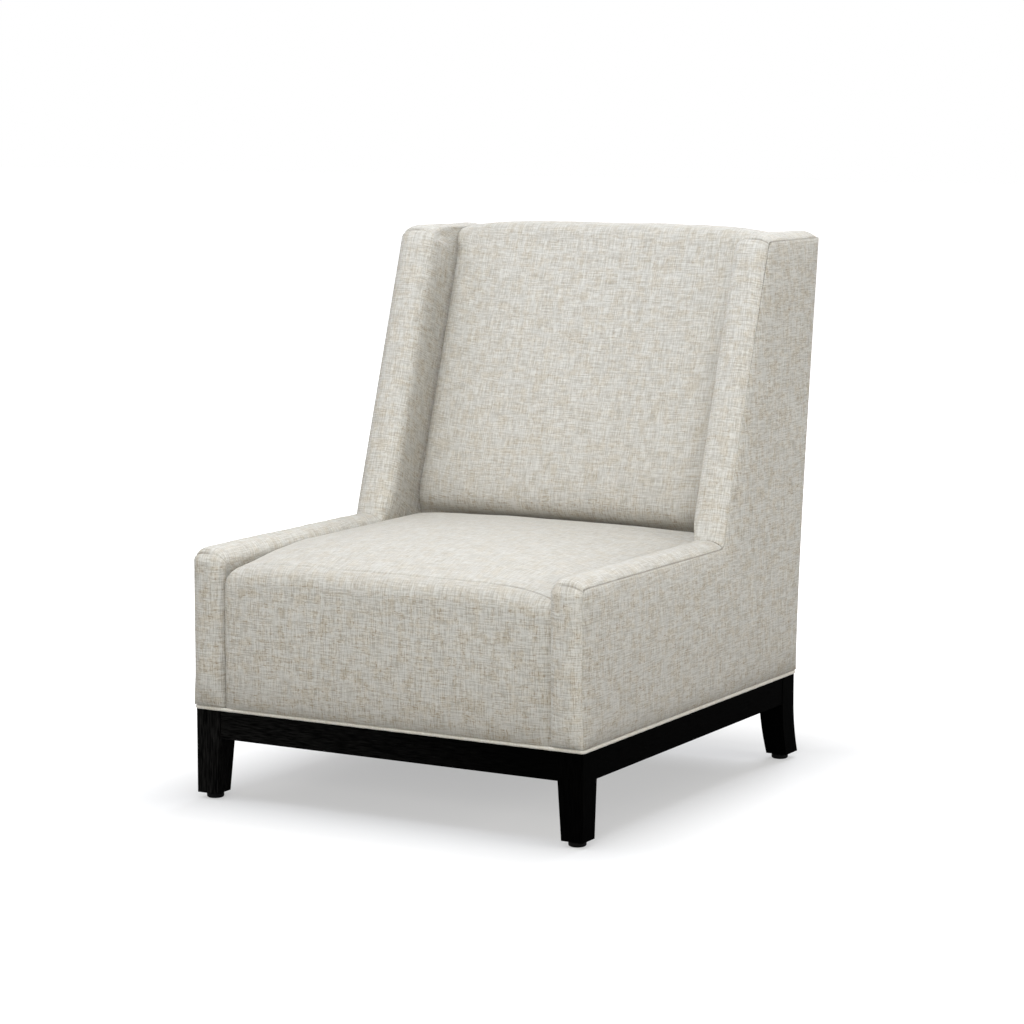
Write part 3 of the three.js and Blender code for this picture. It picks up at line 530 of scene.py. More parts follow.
def grid_quads(rows, columns, wrap_rows=False, wrap_columns=False, flip=False):
    """Faces of a grid of points, which may close on itself either way."""
    index = np.arange(rows * columns).reshape(rows, columns)
    if wrap_rows:
        index = np.vstack([index, index[:1]])
    if wrap_columns:
        index = np.hstack([index, index[:, :1]])
    a, b, c, d = index[:-1, :-1], index[:-1, 1:], index[1:, 1:], index[1:, :-1]
    return coords(*([a, d, c, b] if flip else [a, b, c, d])).reshape(-1, 4)


def shell(name, points, cloth, wall=2.0, flip=False, painted_shade=None):
    """Grid of points in millimetres as cloth with a wall that grows inwards."""
    rows, columns = points.shape[:2]
    piece = mesh_piece(name, metres(points), grid_quads(rows, columns, flip=flip), cloth, painted_shade)
    modified(piece, "wall", "SOLIDIFY", thickness=wall * 0.001, offset=-1.0)
    return piece


def pad(name, upper, lower, cloth, flip=False, painted_shade=None):
    """Closed cushion between two grids with the same rows and columns, joined round their edge."""
    rows, columns = upper.shape[:2]
    count = rows * columns
    index = np.arange(count).reshape(rows, columns)
    rim = np.concatenate([index[0, :-1], index[:-1, -1], index[-1, :0:-1], index[:0:-1, 0]])
    after = np.roll(rim, -1)
    side = coords(after, rim, rim + count, after + count)
    if flip:
        side = side[:, ::-1]
    quads = np.concatenate([
        grid_quads(rows, columns, flip=flip), grid_quads(rows, columns, flip=not flip) + count, side])
    points = np.concatenate([upper.reshape(-1, 3), lower.reshape(-1, 3)])
    painted_shade = np.zeros(upper.shape[:2]) if painted_shade is None else painted_shade
    piece = mesh_piece(name, metres(points), quads, np.concatenate([cloth.reshape(-1, 2)] * 2),
                       np.concatenate([painted_shade.ravel()] * 2))
    piece.data.set_sharp_from_angle(angle=math.radians(42))
    return piece


print("mesh helpers ready")

# %% What every piece is given
def put_on(piece, material, body, slot, *nodes):
    """Gives a piece its finish and the body it rides on, and hides the nodes it stands for. The slot is not
    used.
    """
    piece.data.materials.append(material)
    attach(piece, body)
    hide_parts(*nodes)


hands = (("right", 1), ("left", -1))
print("hands:", [hand for hand, side in hands])

# %% [markdown]
# ## The edge band
# One sewn strip runs up the front of each arm, along its top, round the crook and up the wing. It is
# padded, so it stands proud between its seams in a soft crown, and on the inside it turns over a round
# edge to line the wing. The strip is a cross-section carried along the side's outline: the outline
# gives a place and an outward direction, the cross-section gives a distance across and a height.
# Below the edge, the lining is drawn flat towards an inner line, so that nothing folds at corners.

# %% Outline of a side
band_crown = 13.5
wing_bulge = 8.0
wing_turn = 14.0
seam_draw = 2.6
rear_seam_height = wing_height - 4.6


def rounded_outline(corners, radii, pitch=0.25):
    """Outline through corners of (depth, height), each rounded by its radius, in even small steps.
    Returns the points, the directions that face outwards, the length up to each point, and the lengths
    at which the rounded corners have their middles."""
    corners = np.array(corners, float)
    runs = [corners[:1]]
    middles = []
    for before, at, after, radius in zip(corners[:-2], corners[1:-1], corners[2:], radii):
        back, ahead = unit(before - at), unit(after - at)
        half = math.acos(float(back @ ahead)) / 2
        hub = at + unit(back + ahead) * radius / math.sin(half)
        start = at + back * radius / math.tan(half) - hub
        end = at + ahead * radius / math.tan(half) - hub
        first = math.atan2(start[1], start[0])
        sweep = (math.atan2(end[1], end[0]) - first + math.pi) % (2 * math.pi) - math.pi
        turn = first + sweep * np.linspace(0, 1, 25)
        arc = hub + radius * coords(np.cos(turn), np.sin(turn))
        runs.append(arc)
        middles.append(arc[12])
    rough = np.concatenate([*runs, corners[-1:]])
    far = lengths(rough)
    even = np.linspace(0, far[-1], int(far[-1] / pitch) + 1)
    points = read_off(even, far, rough)
    along = unit(soften(np.gradient(points, even, axis=0)[None], 6)[0])
    outwards = coords(-along[:, 1], along[:, 0])
    seams = [even[np.argmin(np.linalg.norm(points - middle, axis=-1))] for middle in middles]
    return points, outwards, even, seams


side_corners = [(0, cover_foot), (0, arm_height), (crook_depth, arm_height),
                (wing_top_depth, wing_height), (top_depth, wing_height),
                (float(rear_depth(rear_seam_height)), rear_seam_height)]
outline, outwards, outline_length, outline_seams = rounded_outline(side_corners, [11, 16, 16, 4])
arm_seam, crook_seam, wing_seam, rear_seam = outline_seams
print("band:", round(outline_length[-1]), "mm long, cross seams at", [round(s) for s in outline_seams])

# %% Cross-section of the band
def stations(total, seams, coarse, fine, near):
    """Places along a strip: coarse steps, and fine ones within near of each seam and end. Places that
    nearly coincide are thinned out."""
    spots = [np.arange(0, total, coarse), [total]]
    for seam in [*seams, 0, total]:
        spots.append(np.arange(seam - near, seam + near, fine))
    spots = np.unique(np.round(np.concatenate(spots), 3))
    spots = spots[(spots >= 0) & (spots <= total)]
    return spots[np.concatenate([[True], np.diff(spots) > 0.35 * fine])]


def band_section(wing):
    """Cross-section from the outer seam over the crown to the inner edge, as (x, height, length). The
    crown is 1 - |2t - 1|^3 of its height across the strip, and the arm's inner edge is averaged round.
    The wing is fuller: from its middle, a quarter of |a|^2.5 + |b|^2.5 = 1 turns down past the edge."""
    across = np.linspace(1, 0, 117)
    crown = band_crown * (1 - np.abs(2 * across - 1) ** 3)
    drop = np.arange(0.5, 8.2, 0.5)
    flat = np.concatenate([coords(arm_inner + (outer_seam - arm_inner) * across, crown),
                           coords(arm_inner, -drop)])
    rounded = soften(flat[None], 150)[0]
    if wing:
        turn = np.linspace(0, math.pi / 2, 60)[1:]
        middle = (arm_inner + outer_seam) / 2
        round_x = middle - (middle - arm_inner + wing_bulge) * np.sin(turn) ** 0.8
        round_height = -wing_turn + (band_crown + wing_turn) * np.cos(turn) ** 0.8
        flat = np.concatenate([flat[:59], coords(round_x, round_height)])
        rounded = soften(flat[None], 10)[0]
    near_seam = smoothstep(half_width - flat[:, 0], 2, 14)[:, None]
    rounded = flat * (1 - near_seam) + rounded * near_seam
    far = lengths(rounded)
    spots = np.concatenate([[0, 0.4, 0.8, 1.2, 1.8, 2.6, 3.6, 4.8, 6], np.linspace(8, far[-1], 32)])
    return np.concatenate([read_off(spots, far, rounded), spots[:, None]], axis=-1)


print("sections: arm", band_section(False).shape, "and wing", band_section(True).shape)

# %% How the band changes along its length
def seam_inset(spots, height):
    """How far the outer seam lies inside the chair's width: not at the foot and not at the rear."""
    return seam_draw * smoothstep(height, cover_foot + 5, cover_foot + 60) \
        * (1 - smoothstep(spots, wing_seam - 50, rear_seam))


def foot_shade(height):
    """The covers take less light near the dark base, mostly in the last centimetre."""
    above = np.maximum(height - cover_foot, 0)
    return 0.36 * fade(above, 75) + 0.25 * fade(above, 9)


def crown_share(spots, height):
    """How much of its crown the band keeps: less at the foot and where it turns the wing's corner, a
    little more along the arm, and down to nothing in a quarter circle at the rear."""
    share = 1 - 0.75 * fade(height - cover_foot, 12)
    share[spots > arm_seam] = 1.0
    ending = np.clip(1 - (rear_seam - spots) / 13.0, 0, 1)
    share = share * np.where(spots > crook_seam, np.sqrt(np.maximum(1 - ending ** 2, 0)), 1.0)
    share = share * (1 - 0.2 * smoothstep(spots, wing_seam, rear_seam - 15))
    share = share * (1 + 0.12 * between(spots, arm_seam, arm_seam + 20, crook_seam - 30, crook_seam))
    return share * (1 - 0.25 * bump(spots, 13, wing_seam))


def band_painted_shade(spots, at_height, level, seam_gap, depth, past_edge, height):
    """Painted shade of the band: along its long seam where that lies level or starts up the wing, at its
    cross seams, on its lining, and on the front face near the base."""
    rising = smoothstep(spots, crook_seam, crook_seam + 15) * (1 - smoothstep(at_height, 430, 640))
    long_seam = bump(depth, 1.1) * np.maximum(level, 0.4 * rising)[:, None]
    cross_seam = bump(seam_gap, 1.0)[:, None] * smoothstep(40 - depth, -8, 8)
    lining = smoothstep(past_edge, -8, 6) \
        * (1 - 0.6 * smoothstep(height, 430, 760) - 0.4 * smoothstep(height, 800, 880))
    front_face = (1 - smoothstep(spots, arm_seam - 60, arm_seam))[:, None]
    painted_shade = np.maximum(np.maximum(long_seam, 0.7 * cross_seam), 0.28 * lining)
    return painted_shade + 0.6 * foot_shade(height) * front_face


print("band: crown of", band_crown, "mm")

# %% Edge band with its lining
def edge_band(hand, side):
    """Strip surface: outline point plus outward direction times height, then the flat lining."""
    spots = stations(outline_length[-1], outline_seams, 5.0, 0.6, 12.0)
    at, out = (read_off(spots, outline_length, table) for table in (outline, outwards))
    full = between(spots, crook_seam - 5, crook_seam + 45, wing_seam - 14, wing_seam + 34)
    blend = (1 - full)[:, None, None] * band_section(False) + full[:, None, None] * band_section(True)
    x, height, far = blend[..., 0], blend[..., 1], blend[..., 2]
    peak = height.max(axis=1, keepdims=True)
    past = np.arange(height.shape[1]) > height.argmax(axis=1)[:, None]
    flatter = 0.7 * smoothstep(spots, wing_seam + 4, wing_seam + 60)
    height = np.where(past, peak - (peak - height) * (1 - flatter[:, None]), height)
    level = smoothstep(np.abs(out[:, 1]), 0.5, 0.9)
    inset = (seam_inset(spots, at[:, 1]) - 1.2 * (1 - level))[:, None]
    x = x - inset * np.clip((x - arm_inner) / (outer_seam - arm_inner), 0, 1)

    rise = np.where(height > 0, height * crown_share(spots, at[:, 1])[:, None], height)
    seam_gap = np.abs(spots[:, None] - np.array(outline_seams[:3])).min(axis=1)
    rise = rise - (1.6 * bump(seam_gap, 1.2) - 0.35 * bump(seam_gap, 3, 5))[:, None]
    rise = rise - (0.15 + 0.95 * level[:, None]) * fade(far, 0.7) + 0.3 * bump(far, 2.5, 5)
    rise = rise - 1.8 * fade(spots, 1.2)[:, None]
    uneven = 0.5 * ripple(spots[:, None], far, 90, 3 + side) \
        + 0.22 * ripple(spots[:, None], far * 0.5, 26, 5 + side)
    rise = rise + smoothstep(height, -2, 4) * uneven
    edge = at[:, None] + out[:, None] * rise[..., None]

    knots = [0, arm_seam, crook_seam, wing_seam, rear_seam, outline_length[-1]]
    inner = np.array([(34, cover_foot), (44, 322), (640, 322), (786, 845), (812, 845), (812, 835)], float)
    target = read_off(spots, knots, inner)
    last = edge[:, -1]
    lining = np.array([0.03, 0.08, 0.16, 0.28, 0.42, 0.6, 0.8, 1.0])
    flat = last[:, None] + (target - last)[:, None] * lining[None, :, None]
    below = np.linalg.norm(target - last, axis=-1)[:, None] * lining[None]
    eased = np.maximum(smoothstep(below, 4, 78), smoothstep(lining, 0.1, 0.9)[None])
    x = np.concatenate([x, x[:, -1:] + (arm_inner - x[:, -1:]) * eased], axis=1)
    y, z = np.moveaxis(np.concatenate([edge, flat], axis=1), -1, 0)
    depth = np.concatenate([far, far[:, -1:] + below], axis=1)
    cloth = coords(depth * 0.001 + (cut_at["band"] + 0.17 * side), spots[:, None] * 0.001)
    # Painted shade: seams, the dim lining and the foot of the front face are painted darker.
    painted_shade = band_painted_shade(spots, at[:, 1], level, seam_gap, depth, depth - far[:, -1:], z)
    return shell(f"{hand}_edge_band", coords(x * side, y, z), cloth, flip=side > 0, painted_shade=painted_shade)


bands = [edge_band(hand, side) for hand, side in hands]
print("edge bands:", [len(piece.data.polygons) for piece in bands], "faces")

# %% [markdown]
# ## The flank
# The outer side is one flat panel, drawn tight over a little wadding, so it swells by about seven
# millimetres inside its seams and dips where it is sewn. Its grid runs from the foot to the line of
# the arm, crook and wing, and the swell at a point depends only on how far the nearest seam is.

# %% Flank panels
flank_swell = 7.0
rear_swell = 2.0


def seam_shape(gap, swell, reach, dip=1.0):
    """Height of a sewn panel by the gap to its seam: a narrow dip, the raised allowance, the swell."""
    return swell * (1 - fade(gap, reach)) - dip * fade(gap, 0.7) + 0.3 * between(gap, 0.5, 3, 7, 11)


def gap_to(points, line):
    """Distance from each point to the nearest part of a line, both in the same plane."""
    start, end = line[:-1], line[1:]
    run = end - start
    flat = points.reshape(-1, 1, 2)
    share = np.clip(((flat - start) * run).sum(-1) / (run * run).sum(-1), 0, 1)
    nearest = start + share[..., None] * run
    return np.linalg.norm(flat - nearest, axis=-1).min(axis=1).reshape(points.shape[:-1])


def flank(hand, side):
    """Grid between the foot line and the top line, with the rear edge's bend shared out."""
    start = outline_length[np.argmax(outline[:, 1] > arm_height - 9.5)]
    end = rear_seam
    spots = start + stations(end - start, [crook_seam - start, wing_seam - start], 6.0, 1.2, 12.0)
    top = read_off(spots, outline_length, outline)
    knots = [start, arm_seam, crook_seam, wing_seam, end]
    foot = coords(np.interp(spots, knots, [0, 6, 462, 632, foot_depth]), cover_foot)
    up = clustered(0, 1, 90, 0.8)[None, :, None]
    flat = foot[:, None] * (1 - up) + top[:, None] * up
    bend = rear_depth(flat[-1, :, 1]) - flat[-1, :, 0]
    share = ((spots - start) / (end - start)) ** 3
    flat[..., 0] += share[:, None] * bend[None]
    height = flat[..., 1]

    rear_height = np.linspace(cover_foot, wing_height, 30)
    rear_line = coords(rear_depth(rear_height), rear_height)
    top_line = np.concatenate([[[0, cover_foot]], top[::3], top[-1:]])
    foot_gap = gap_to(flat, np.array([[0, cover_foot], [foot_depth, cover_foot]]))
    gap = np.minimum(np.minimum(gap_to(flat, top_line), gap_to(flat, rear_line)), foot_gap)
    level = np.maximum(between(height, 368, 382, 402, 430), smoothstep(height, 874, 880))
    swell = seam_shape(gap, flank_swell, 22, 0.1 + 0.9 * level) - seam_inset(spots[:, None], height)
    uneven = 0.45 * ripple(flat[..., 0], height, 120, 11 + side) \
        + 0.35 * ripple(flat[..., 0], height * 0.35, 30, 13 + side) * fade(foot_gap, 30)
    swell = swell + uneven * smoothstep(gap, 0, 12)
    points = coords((half_width + swell) * side, flat[..., 0], height)
    cloth = flat * 0.001 + (cut_at["flank"] + side * 0.31)
    # Painted shade: the colour darkens along the seam where the panel lies level, and near the base.
    return shell(f"{hand}_flank", points, cloth, flip=side > 0,
                 painted_shade=bump(gap, 0.9) * level * 0.8 + foot_shade(height))


flanks = [flank(hand, side) for hand, side in hands]
print("flanks:", [len(piece.data.polygons) for piece in flanks], "faces")

# %% [markdown]
# ## Letting a cushion swell
# A stuffed cushion is not an exact formula: its cloth is held at the seams and blown up by the filling
# between them, so it is fullest far from every seam and drawn tight into the corners. Blender's Cloth
# finds that form. A coarse copy of the cushion is pinned round its edge and underneath, and inflated
# for twenty frames. Its movement is scaled to the swell that is wanted and added to the fine surface.

# %% Cloth simulation
coarse_count = 40
inflating_frames = 20


def spread(fine, coarse):
    """Weights that carry values at the coarse places to every fine place, straight in between."""
    return np.stack([np.interp(np.arange(fine), coarse, row) for row in np.eye(len(coarse))], axis=1)


def inflated(upper, lower):
    """How many millimetres each point of a cushion's upper side moves when it is blown up while its
    edge and its underside are held."""
    rows, columns = upper.shape[:2]
    count = rows * columns
    rest = pad("inflating", upper, lower, np.zeros((rows, columns, 2)), True)
    edge = np.ones((rows, columns), bool)
    edge[1:-1, 1:-1] = False
    held = np.concatenate([np.flatnonzero(edge), np.arange(count, 2 * count)])
    rest.vertex_groups.new(name="held").add(held.tolist(), 1.0, "REPLACE")
    settings = modified(rest, "cloth", "CLOTH").settings
    settings.vertex_group_mass = "held"
    settings.quality = 6
    settings.effector_weights.gravity = 0
    settings.use_pressure = True
    settings.uniform_pressure_force = 4
    settings.tension_stiffness = 30
    settings.compression_stiffness = 30
    for step in range(1, inflating_frames + 1):
        bpy.context.scene.frame_set(step)
    done = rest.evaluated_get(bpy.context.evaluated_depsgraph_get()).data
    places = np.empty(len(done.vertices) * 3, np.float32)
    done.vertices.foreach_get("co", places)
    bpy.context.scene.frame_set(1)
    bpy.data.objects.remove(rest)
    return (places.reshape(-1, 3)[:count].reshape(upper.shape) - metres(upper)) * 1000


def settled(upper, lower, swell):
    """Fine upper grid plus the movement of its inflated coarse copy, at most swell millimetres."""
    counts = upper.shape[:2]
    picks = [np.unique(np.linspace(0, count - 1, coarse_count).astype(int)) for count in counts]
    moved = inflated(*[grid[np.ix_(*picks)] for grid in (upper, lower)])
    most = np.linalg.norm(moved, axis=-1).max()
    print("the filling moved the cloth", round(float(most), 1), "mm, kept", swell)
    weights = [spread(count, pick) for count, pick in zip(counts, picks)]
    fine = np.einsum("ai,bj,ijk->abk", *weights, moved * swell / max(most, 0.001))
    return upper + soften(soften(fine, 30).transpose(1, 0, 2), 10).transpose(1, 0, 2)


print("cushions can swell")

# %% [markdown]
# ## Seat and front panel
# The seat is tight: one cushion whose cloth goes over the front edge and meets the front panel at a
# seam just under it. Both are cut from the same profile, which rises up the front, turns over a soft
# edge and crowns towards the middle. The corners are drawn down to the arms, and both sides roll into
# the joint beside the band.

# %% Profile of the seat and the front
seat_edge_height = 391.0
seat_round = 23.0
seat_reach = 588.0
seat_swell = 5.0
seat_crown = 34.0 - seat_swell
corner_drop = 20.0
front_bulge = 7.0
edge_lift = 6.0
seat_underside = 337.0
panel_padding = 12.0
face_steps, turn_steps = 78, 10
seam_row = face_steps + turn_steps


def seat_profile(x):
    """Profiles at widths x, as (depth, height): front, rounded edge and crown, then averaged. The
    edge is level, then falls with the eighth power towards the arms."""
    across = np.minimum(np.abs(x) / cushion_half, 1)[:, None]
    face = -front_bulge * (1 - across ** 10)
    edge = seat_edge_height - corner_drop * across ** 8
    up = np.linspace(0, 1, face_steps)[None]
    height = cover_foot + (edge - seat_round - cover_foot) * up
    bulge = 1 - 0.7 * fade(height - cover_foot, 12)
    front = coords(face * bulge, height)
    turn = np.pi * (1 - np.linspace(0, 0.5, turn_steps + 2)[1:-1])[None]
    arc = coords(face + seat_round * (1 + np.cos(turn)), edge - seat_round * (1 - np.sin(turn)))
    share = np.linspace(0.002, 1, 190)[None] ** 1.15
    rise = (seat_crown - edge_lift) * (1 - across ** 2.6) * np.sin(np.pi * 0.86 * share ** 0.6)
    rise = rise + edge_lift * smoothstep(share, 0, 0.22)
    corner = np.minimum(1, share / 0.33)
    level = edge + (seat_edge_height - edge) * corner
    reach = seat_reach + 26 * across ** 3
    depth = face + seat_round + (reach - face - seat_round) * share
    tuck = 9 * smoothstep(share, 0.955, 1.0) ** 2
    top = coords(depth, level + rise + 2.5 * share - tuck)
    return soften(np.concatenate([front, arc, top], axis=1), 14)


def rolled(points, sides, width, drop, power=2.4):
    """Moves profiles along their inward normals where they near the sides: the drop times a power of
    how far the point is into the roll's width, which ends in a slope and not a cliff."""
    along = unit(np.gradient(points, axis=1))
    inwards = coords(along[..., 1], -along[..., 0])
    fall = drop * np.clip(1 - sides / width, 0, 1) ** power
    return points + inwards * fall[..., None], inwards


seat_x = clustered(-cushion_half, cushion_half, 150, 0.8)
profile = seat_profile(seat_x)
sides = (cushion_half - np.abs(seat_x))[:, None]
roll_width = 14 + 3 * smoothstep(profile[..., 1], 185, 350)
roll_drop = 4.6 - 2.2 * smoothstep(profile[..., 1], 340, 385)
profile, inwards = rolled(profile, sides, roll_width, roll_drop)
far = lengths(profile)
seam_gap = np.abs(far - far[:, seam_row:seam_row + 1])
uneven = (0.35 * ripple(seat_x[:, None], far, 130, 21) + 0.1 * ripple(seat_x[:, None], far, 45, 22)) \
    * smoothstep(sides, 0, 20)
sewn = 1.0 * fade(seam_gap, 0.9) - 0.3 * bump(seam_gap, 3, 5)
# Painted shade: a dark line along the front seam, stronger towards the right, and darker near the base.
seat_painted_shade = bump(seam_gap, 1.0) * (0.15 + 0.5 * smoothstep(seat_x, 90, 290)[:, None])
seat_painted_shade = seat_painted_shade + foot_shade(profile[..., 1])
profile = profile + inwards * (sewn - uneven)[..., None]
seat_grid = coords(seat_x[:, None], profile[..., 0], profile[..., 1])
seat_cloth = coords(seat_x[:, None], far) * 0.001 + cut_at["seat"]
print("seat profile:", seat_grid.shape, "highest", round(seat_grid[..., 2].max(), 1), "mm")

# %% Seat cushion and front panel
def behind(grid, inwards, depth):
    """The same grid moved inwards, for the hidden face of a padded panel."""
    under = grid.copy()
    under[..., 1:] += inwards * depth
    return under


front_rows = slice(0, seam_row + 1)
front_inner = behind(seat_grid, inwards, panel_padding)
front_panel = pad("front_panel", seat_grid[:, front_rows], front_inner[:, front_rows],
                  seat_cloth[:, front_rows], True, seat_painted_shade[:, front_rows])
top_rows = slice(seam_row, None)
seat_upper = seat_grid[:, top_rows]
seat_lower = seat_upper.copy()
seat_lower[..., 2] = seat_underside
seat_lower[..., 0] *= underside_width
seat_lower[..., 1] = np.maximum(seat_lower[..., 1], 8.0)
seat_upper = settled(seat_upper, seat_lower, seat_swell)
seat_cushion = pad("seat_cushion", seat_upper, seat_lower, seat_cloth[:, top_rows], True,
                   seat_painted_shade[:, top_rows])
print("front panel and seat:", len(front_panel.data.polygons), len(seat_cushion.data.polygons), "faces")

# %% [markdown]
# ## The back
# The inside back is a full cushion between the wings. It is crowned across, rolls back into the wings
# at its sides, and turns over at the top to a seam along the rear edge, a little higher than the wings.

# %% Profile of the inside back
back_swell = 5.0
back_round = 26.0
back_foot = 345.0
back_set = 94.0
back_crown = 27.0
back_rise = 5.0
back_arch = 14.5
seat_joint = 406.0


def back_profile(x):
    """Profiles at widths x, as (depth, height): raked crowned face, round top, level to the rear.
    At the foot the face turns under in a quarter of an ellipse, out of the light."""
    off = (np.abs(x) / cushion_half)[:, None]
    across = 1 - off ** 3
    top = wing_height + back_rise + back_arch * (1 - off ** 5.5)
    up = np.linspace(0, 1, 200)[None]
    height = back_foot + (top - back_round - back_foot) * up
    full = 1 - 0.3 * (height - arm_height) / (wing_height - arm_height)
    face = wing_front(height) + back_set - (back_crown - back_swell) * across * full
    under = np.clip((452 - height) / 46, 0, 1)
    face = face + (42 - 24 * off ** 5) * (1 - np.sqrt(1 - under ** 2))
    face = face - 7 * across * (1 - np.clip((height - 600) / 270, -1, 1) ** 2)
    front = coords(face, height)
    centre = face[:, -1:] + back_round
    turn = np.pi * (1 - np.linspace(0, 0.5, 16)[1:])[None]
    arc = coords(centre + back_round * np.cos(turn), top - back_round * (1 - np.sin(turn)))
    share = np.linspace(0, 1, 40)[None, 1:]
    depth = centre + (top_depth - 1 - centre) * share
    over = coords(depth, top - (top - wing_height + 3.6) * share ** 4)
    return soften(np.concatenate([front, arc, over], axis=1), 12)


back_x = clustered(-cushion_half, cushion_half, 150, 0.8)
back = back_profile(back_x)
sides = (cushion_half - np.abs(back_x))[:, None]
roof = smoothstep(back[..., 1], 845, 888)
back, back_inwards = rolled(back, sides, 40 - 28 * roof, 13 - 11 * roof, 2.0)
back_far = lengths(back)
uneven = 0.8 * ripple(back_x[:, None], back_far, 150, 31) + 0.3 * ripple(back_x[:, None], back_far, 50, 32)
uneven = uneven * smoothstep(sides, 0, 20)
rear_gap = back_far[:, -1:] - back_far
back = back + back_inwards * (1.2 * fade(rear_gap, 1.2) - uneven)[..., None]
back_grid = coords(back_x[:, None], back[..., 0], back[..., 1])
back_cloth = coords(back_x[:, None], back_far) * 0.001 + cut_at["back"]
print("back profile:", back_grid.shape)

# %% Back cushion
back_lower = back_grid.copy()
back_lower[..., 0] *= underside_width
back_lower[..., 1] = rear_depth(np.minimum(back_grid[..., 2], 860)) - 56
back_lower[..., 2] = np.minimum(back_grid[..., 2], 862)
back_lower[:, -30:, 1] = np.minimum(back_grid[:, -30:, 1] - 2, back_lower[:, -30:, 1] + 48)
back_grid = settled(back_grid, back_lower, back_swell)
# Painted shade: the back is darker at its foot above the seat, low down, and beside the right wing.
above = np.maximum(back_grid[..., 2] - seat_joint, 0)
right_edge = 0.42 * fade(np.abs(back_grid[..., 0] - 263), 10) + 0.17 * smoothstep(back_grid[..., 0], 215, 250)
right_edge = right_edge * (1 - 0.35 * smoothstep(above, 240, 400)) * (1 - smoothstep(above, 440, 470))
back_shade = 0.64 * fade(above, 30) + 0.14 * fade(above, 130) + right_edge
back_cushion = pad("back_cushion", back_grid, back_lower, back_cloth, True, back_shade)
print("back cushion:", len(back_cushion.data.polygons), "faces, top at", round(back_grid[..., 2].max(), 1))

# %% Outside back
def outside_back():
    """Panel down the rear face: even in width, bent with the rear, swelling inside its seams."""
    reach, top = half_width - 0.6, wing_height - 4.9
    wide, high = np.meshgrid(clustered(-reach, reach, 110, 0.8), clustered(cover_foot, top, 110, 0.8),
                             indexing="ij")
    gap = np.minimum(np.minimum(reach - np.abs(wide), top - high), high - cover_foot)
    swell = seam_shape(gap, rear_swell, 40) + 0.4 * ripple(wide, high, 140, 41) * smoothstep(gap, 0, 12)
    points = coords(wide, rear_depth(high) + swell, high)
    return shell("outside_back", points, coords(wide, high) * 0.001 + cut_at["rear"])


rear_panel = outside_back()
print("outside back:", len(rear_panel.data.polygons), "faces")

# %% [markdown]
# ## Welt and dust cloth
# A cord in a bias strip is sewn round the foot, where the covers meet the base. It is a round section
# carried round a rectangle with small corner radii. The dust cloth is stapled under the seat and sags
# a few millimetres between its edges.

# %% Welt and dust cloth
welt_height = 150.0
welt_radius = 3.2
sheet_height = 148.5
sheet_sag = 5.0


def welt():
    """Circle carried round the foot: a point is the path plus the level direction outwards times the
    cosine and the height times the sine. Its radius wavers a little, as a cord in a bias strip does."""
    proud, thick, radius = 1, 3, 6.0
    reach, near, rear = half_width + proud - thick, thick - proud, foot_depth + proud - thick
    hubs = [(reach - radius, near + radius, -90), (reach - radius, rear - radius, 0),
            (-reach + radius, rear - radius, 90), (-reach + radius, near + radius, 180)]
    corners = []
    for x, y, first in hubs:
        turn = np.radians(first + np.linspace(0, 90, 14))
        corners.append(coords(x + radius * np.cos(turn), y + radius * np.sin(turn)))
    loop = np.concatenate(corners + [corners[0][:1]])
    far = lengths(loop)
    spots = np.unique(np.concatenate([np.linspace(0, far[-1], 900), far]))[:-1]
    path = read_off(spots, far, loop)
    ahead = unit(np.roll(path, -1, axis=0) - np.roll(path, 1, axis=0))
    out = coords(ahead[:, 1], -ahead[:, 0])
    turn = circle(16)
    size = welt_radius + 0.12 * np.sin(spots * 2 * math.pi / 31) + 0.08 * np.sin(spots * 2 * math.pi / 7.3)
    flat = path[:, None] + out[:, None] * (size[:, None] * np.cos(turn))[..., None]
    points = coords(flat[..., 0], flat[..., 1], welt_height + size[:, None] * np.sin(turn))
    cloth = coords(3 * turn + 0.5 * spots[:, None], spots[:, None])
    quads = grid_quads(len(spots), len(turn), wrap_rows=True, wrap_columns=True, flip=True)
    return mesh_piece("base_welt_cord", metres(points), quads, cloth * 0.001)


def dust_sheet():
    """Sheet whose sag is the product of two arches, one each way, in a power that flattens them."""
    reach, near, rear = 346, 8, 748
    wide, deep = np.meshgrid(clustered(-reach, reach, 60, 0.6), clustered(near, rear, 60, 0.6), indexing="ij")
    arch = np.sin(np.pi * (wide + reach) / (2 * reach)) * np.sin(np.pi * (deep - near) / (rear - near))
    sag = sheet_sag * np.maximum(arch, 0) ** 0.6 * smoothstep(reach - np.abs(wide), 25, 80) \
        * smoothstep(np.minimum(deep - near, rear - deep), 30, 80)
    high = sheet_height - sag + 0.5 * ripple(wide, deep, 60, 51) * smoothstep(sag, 0, 3)
    points = coords(wide, deep, high)
    return shell("dust_sheet", points, points[..., :2] * 0.001, wall=1.0)


welt_cord = welt()
under_sheet = dust_sheet()
print("welt:", len(welt_cord.data.polygons), "faces; dust sheet:", len(under_sheet.data.polygons))

# %% [markdown]
# ## The timber base
# The legs and aprons already have their true shape, with tenons and tapers. Only their arrises are too
# sharp: a maker breaks every edge with sandpaper. So each one is copied, its loose triangles are
# merged, and a small bevel eases its edges.

# %% Legs and aprons
apron_ease = 0.0010
leg_ease = 0.0012


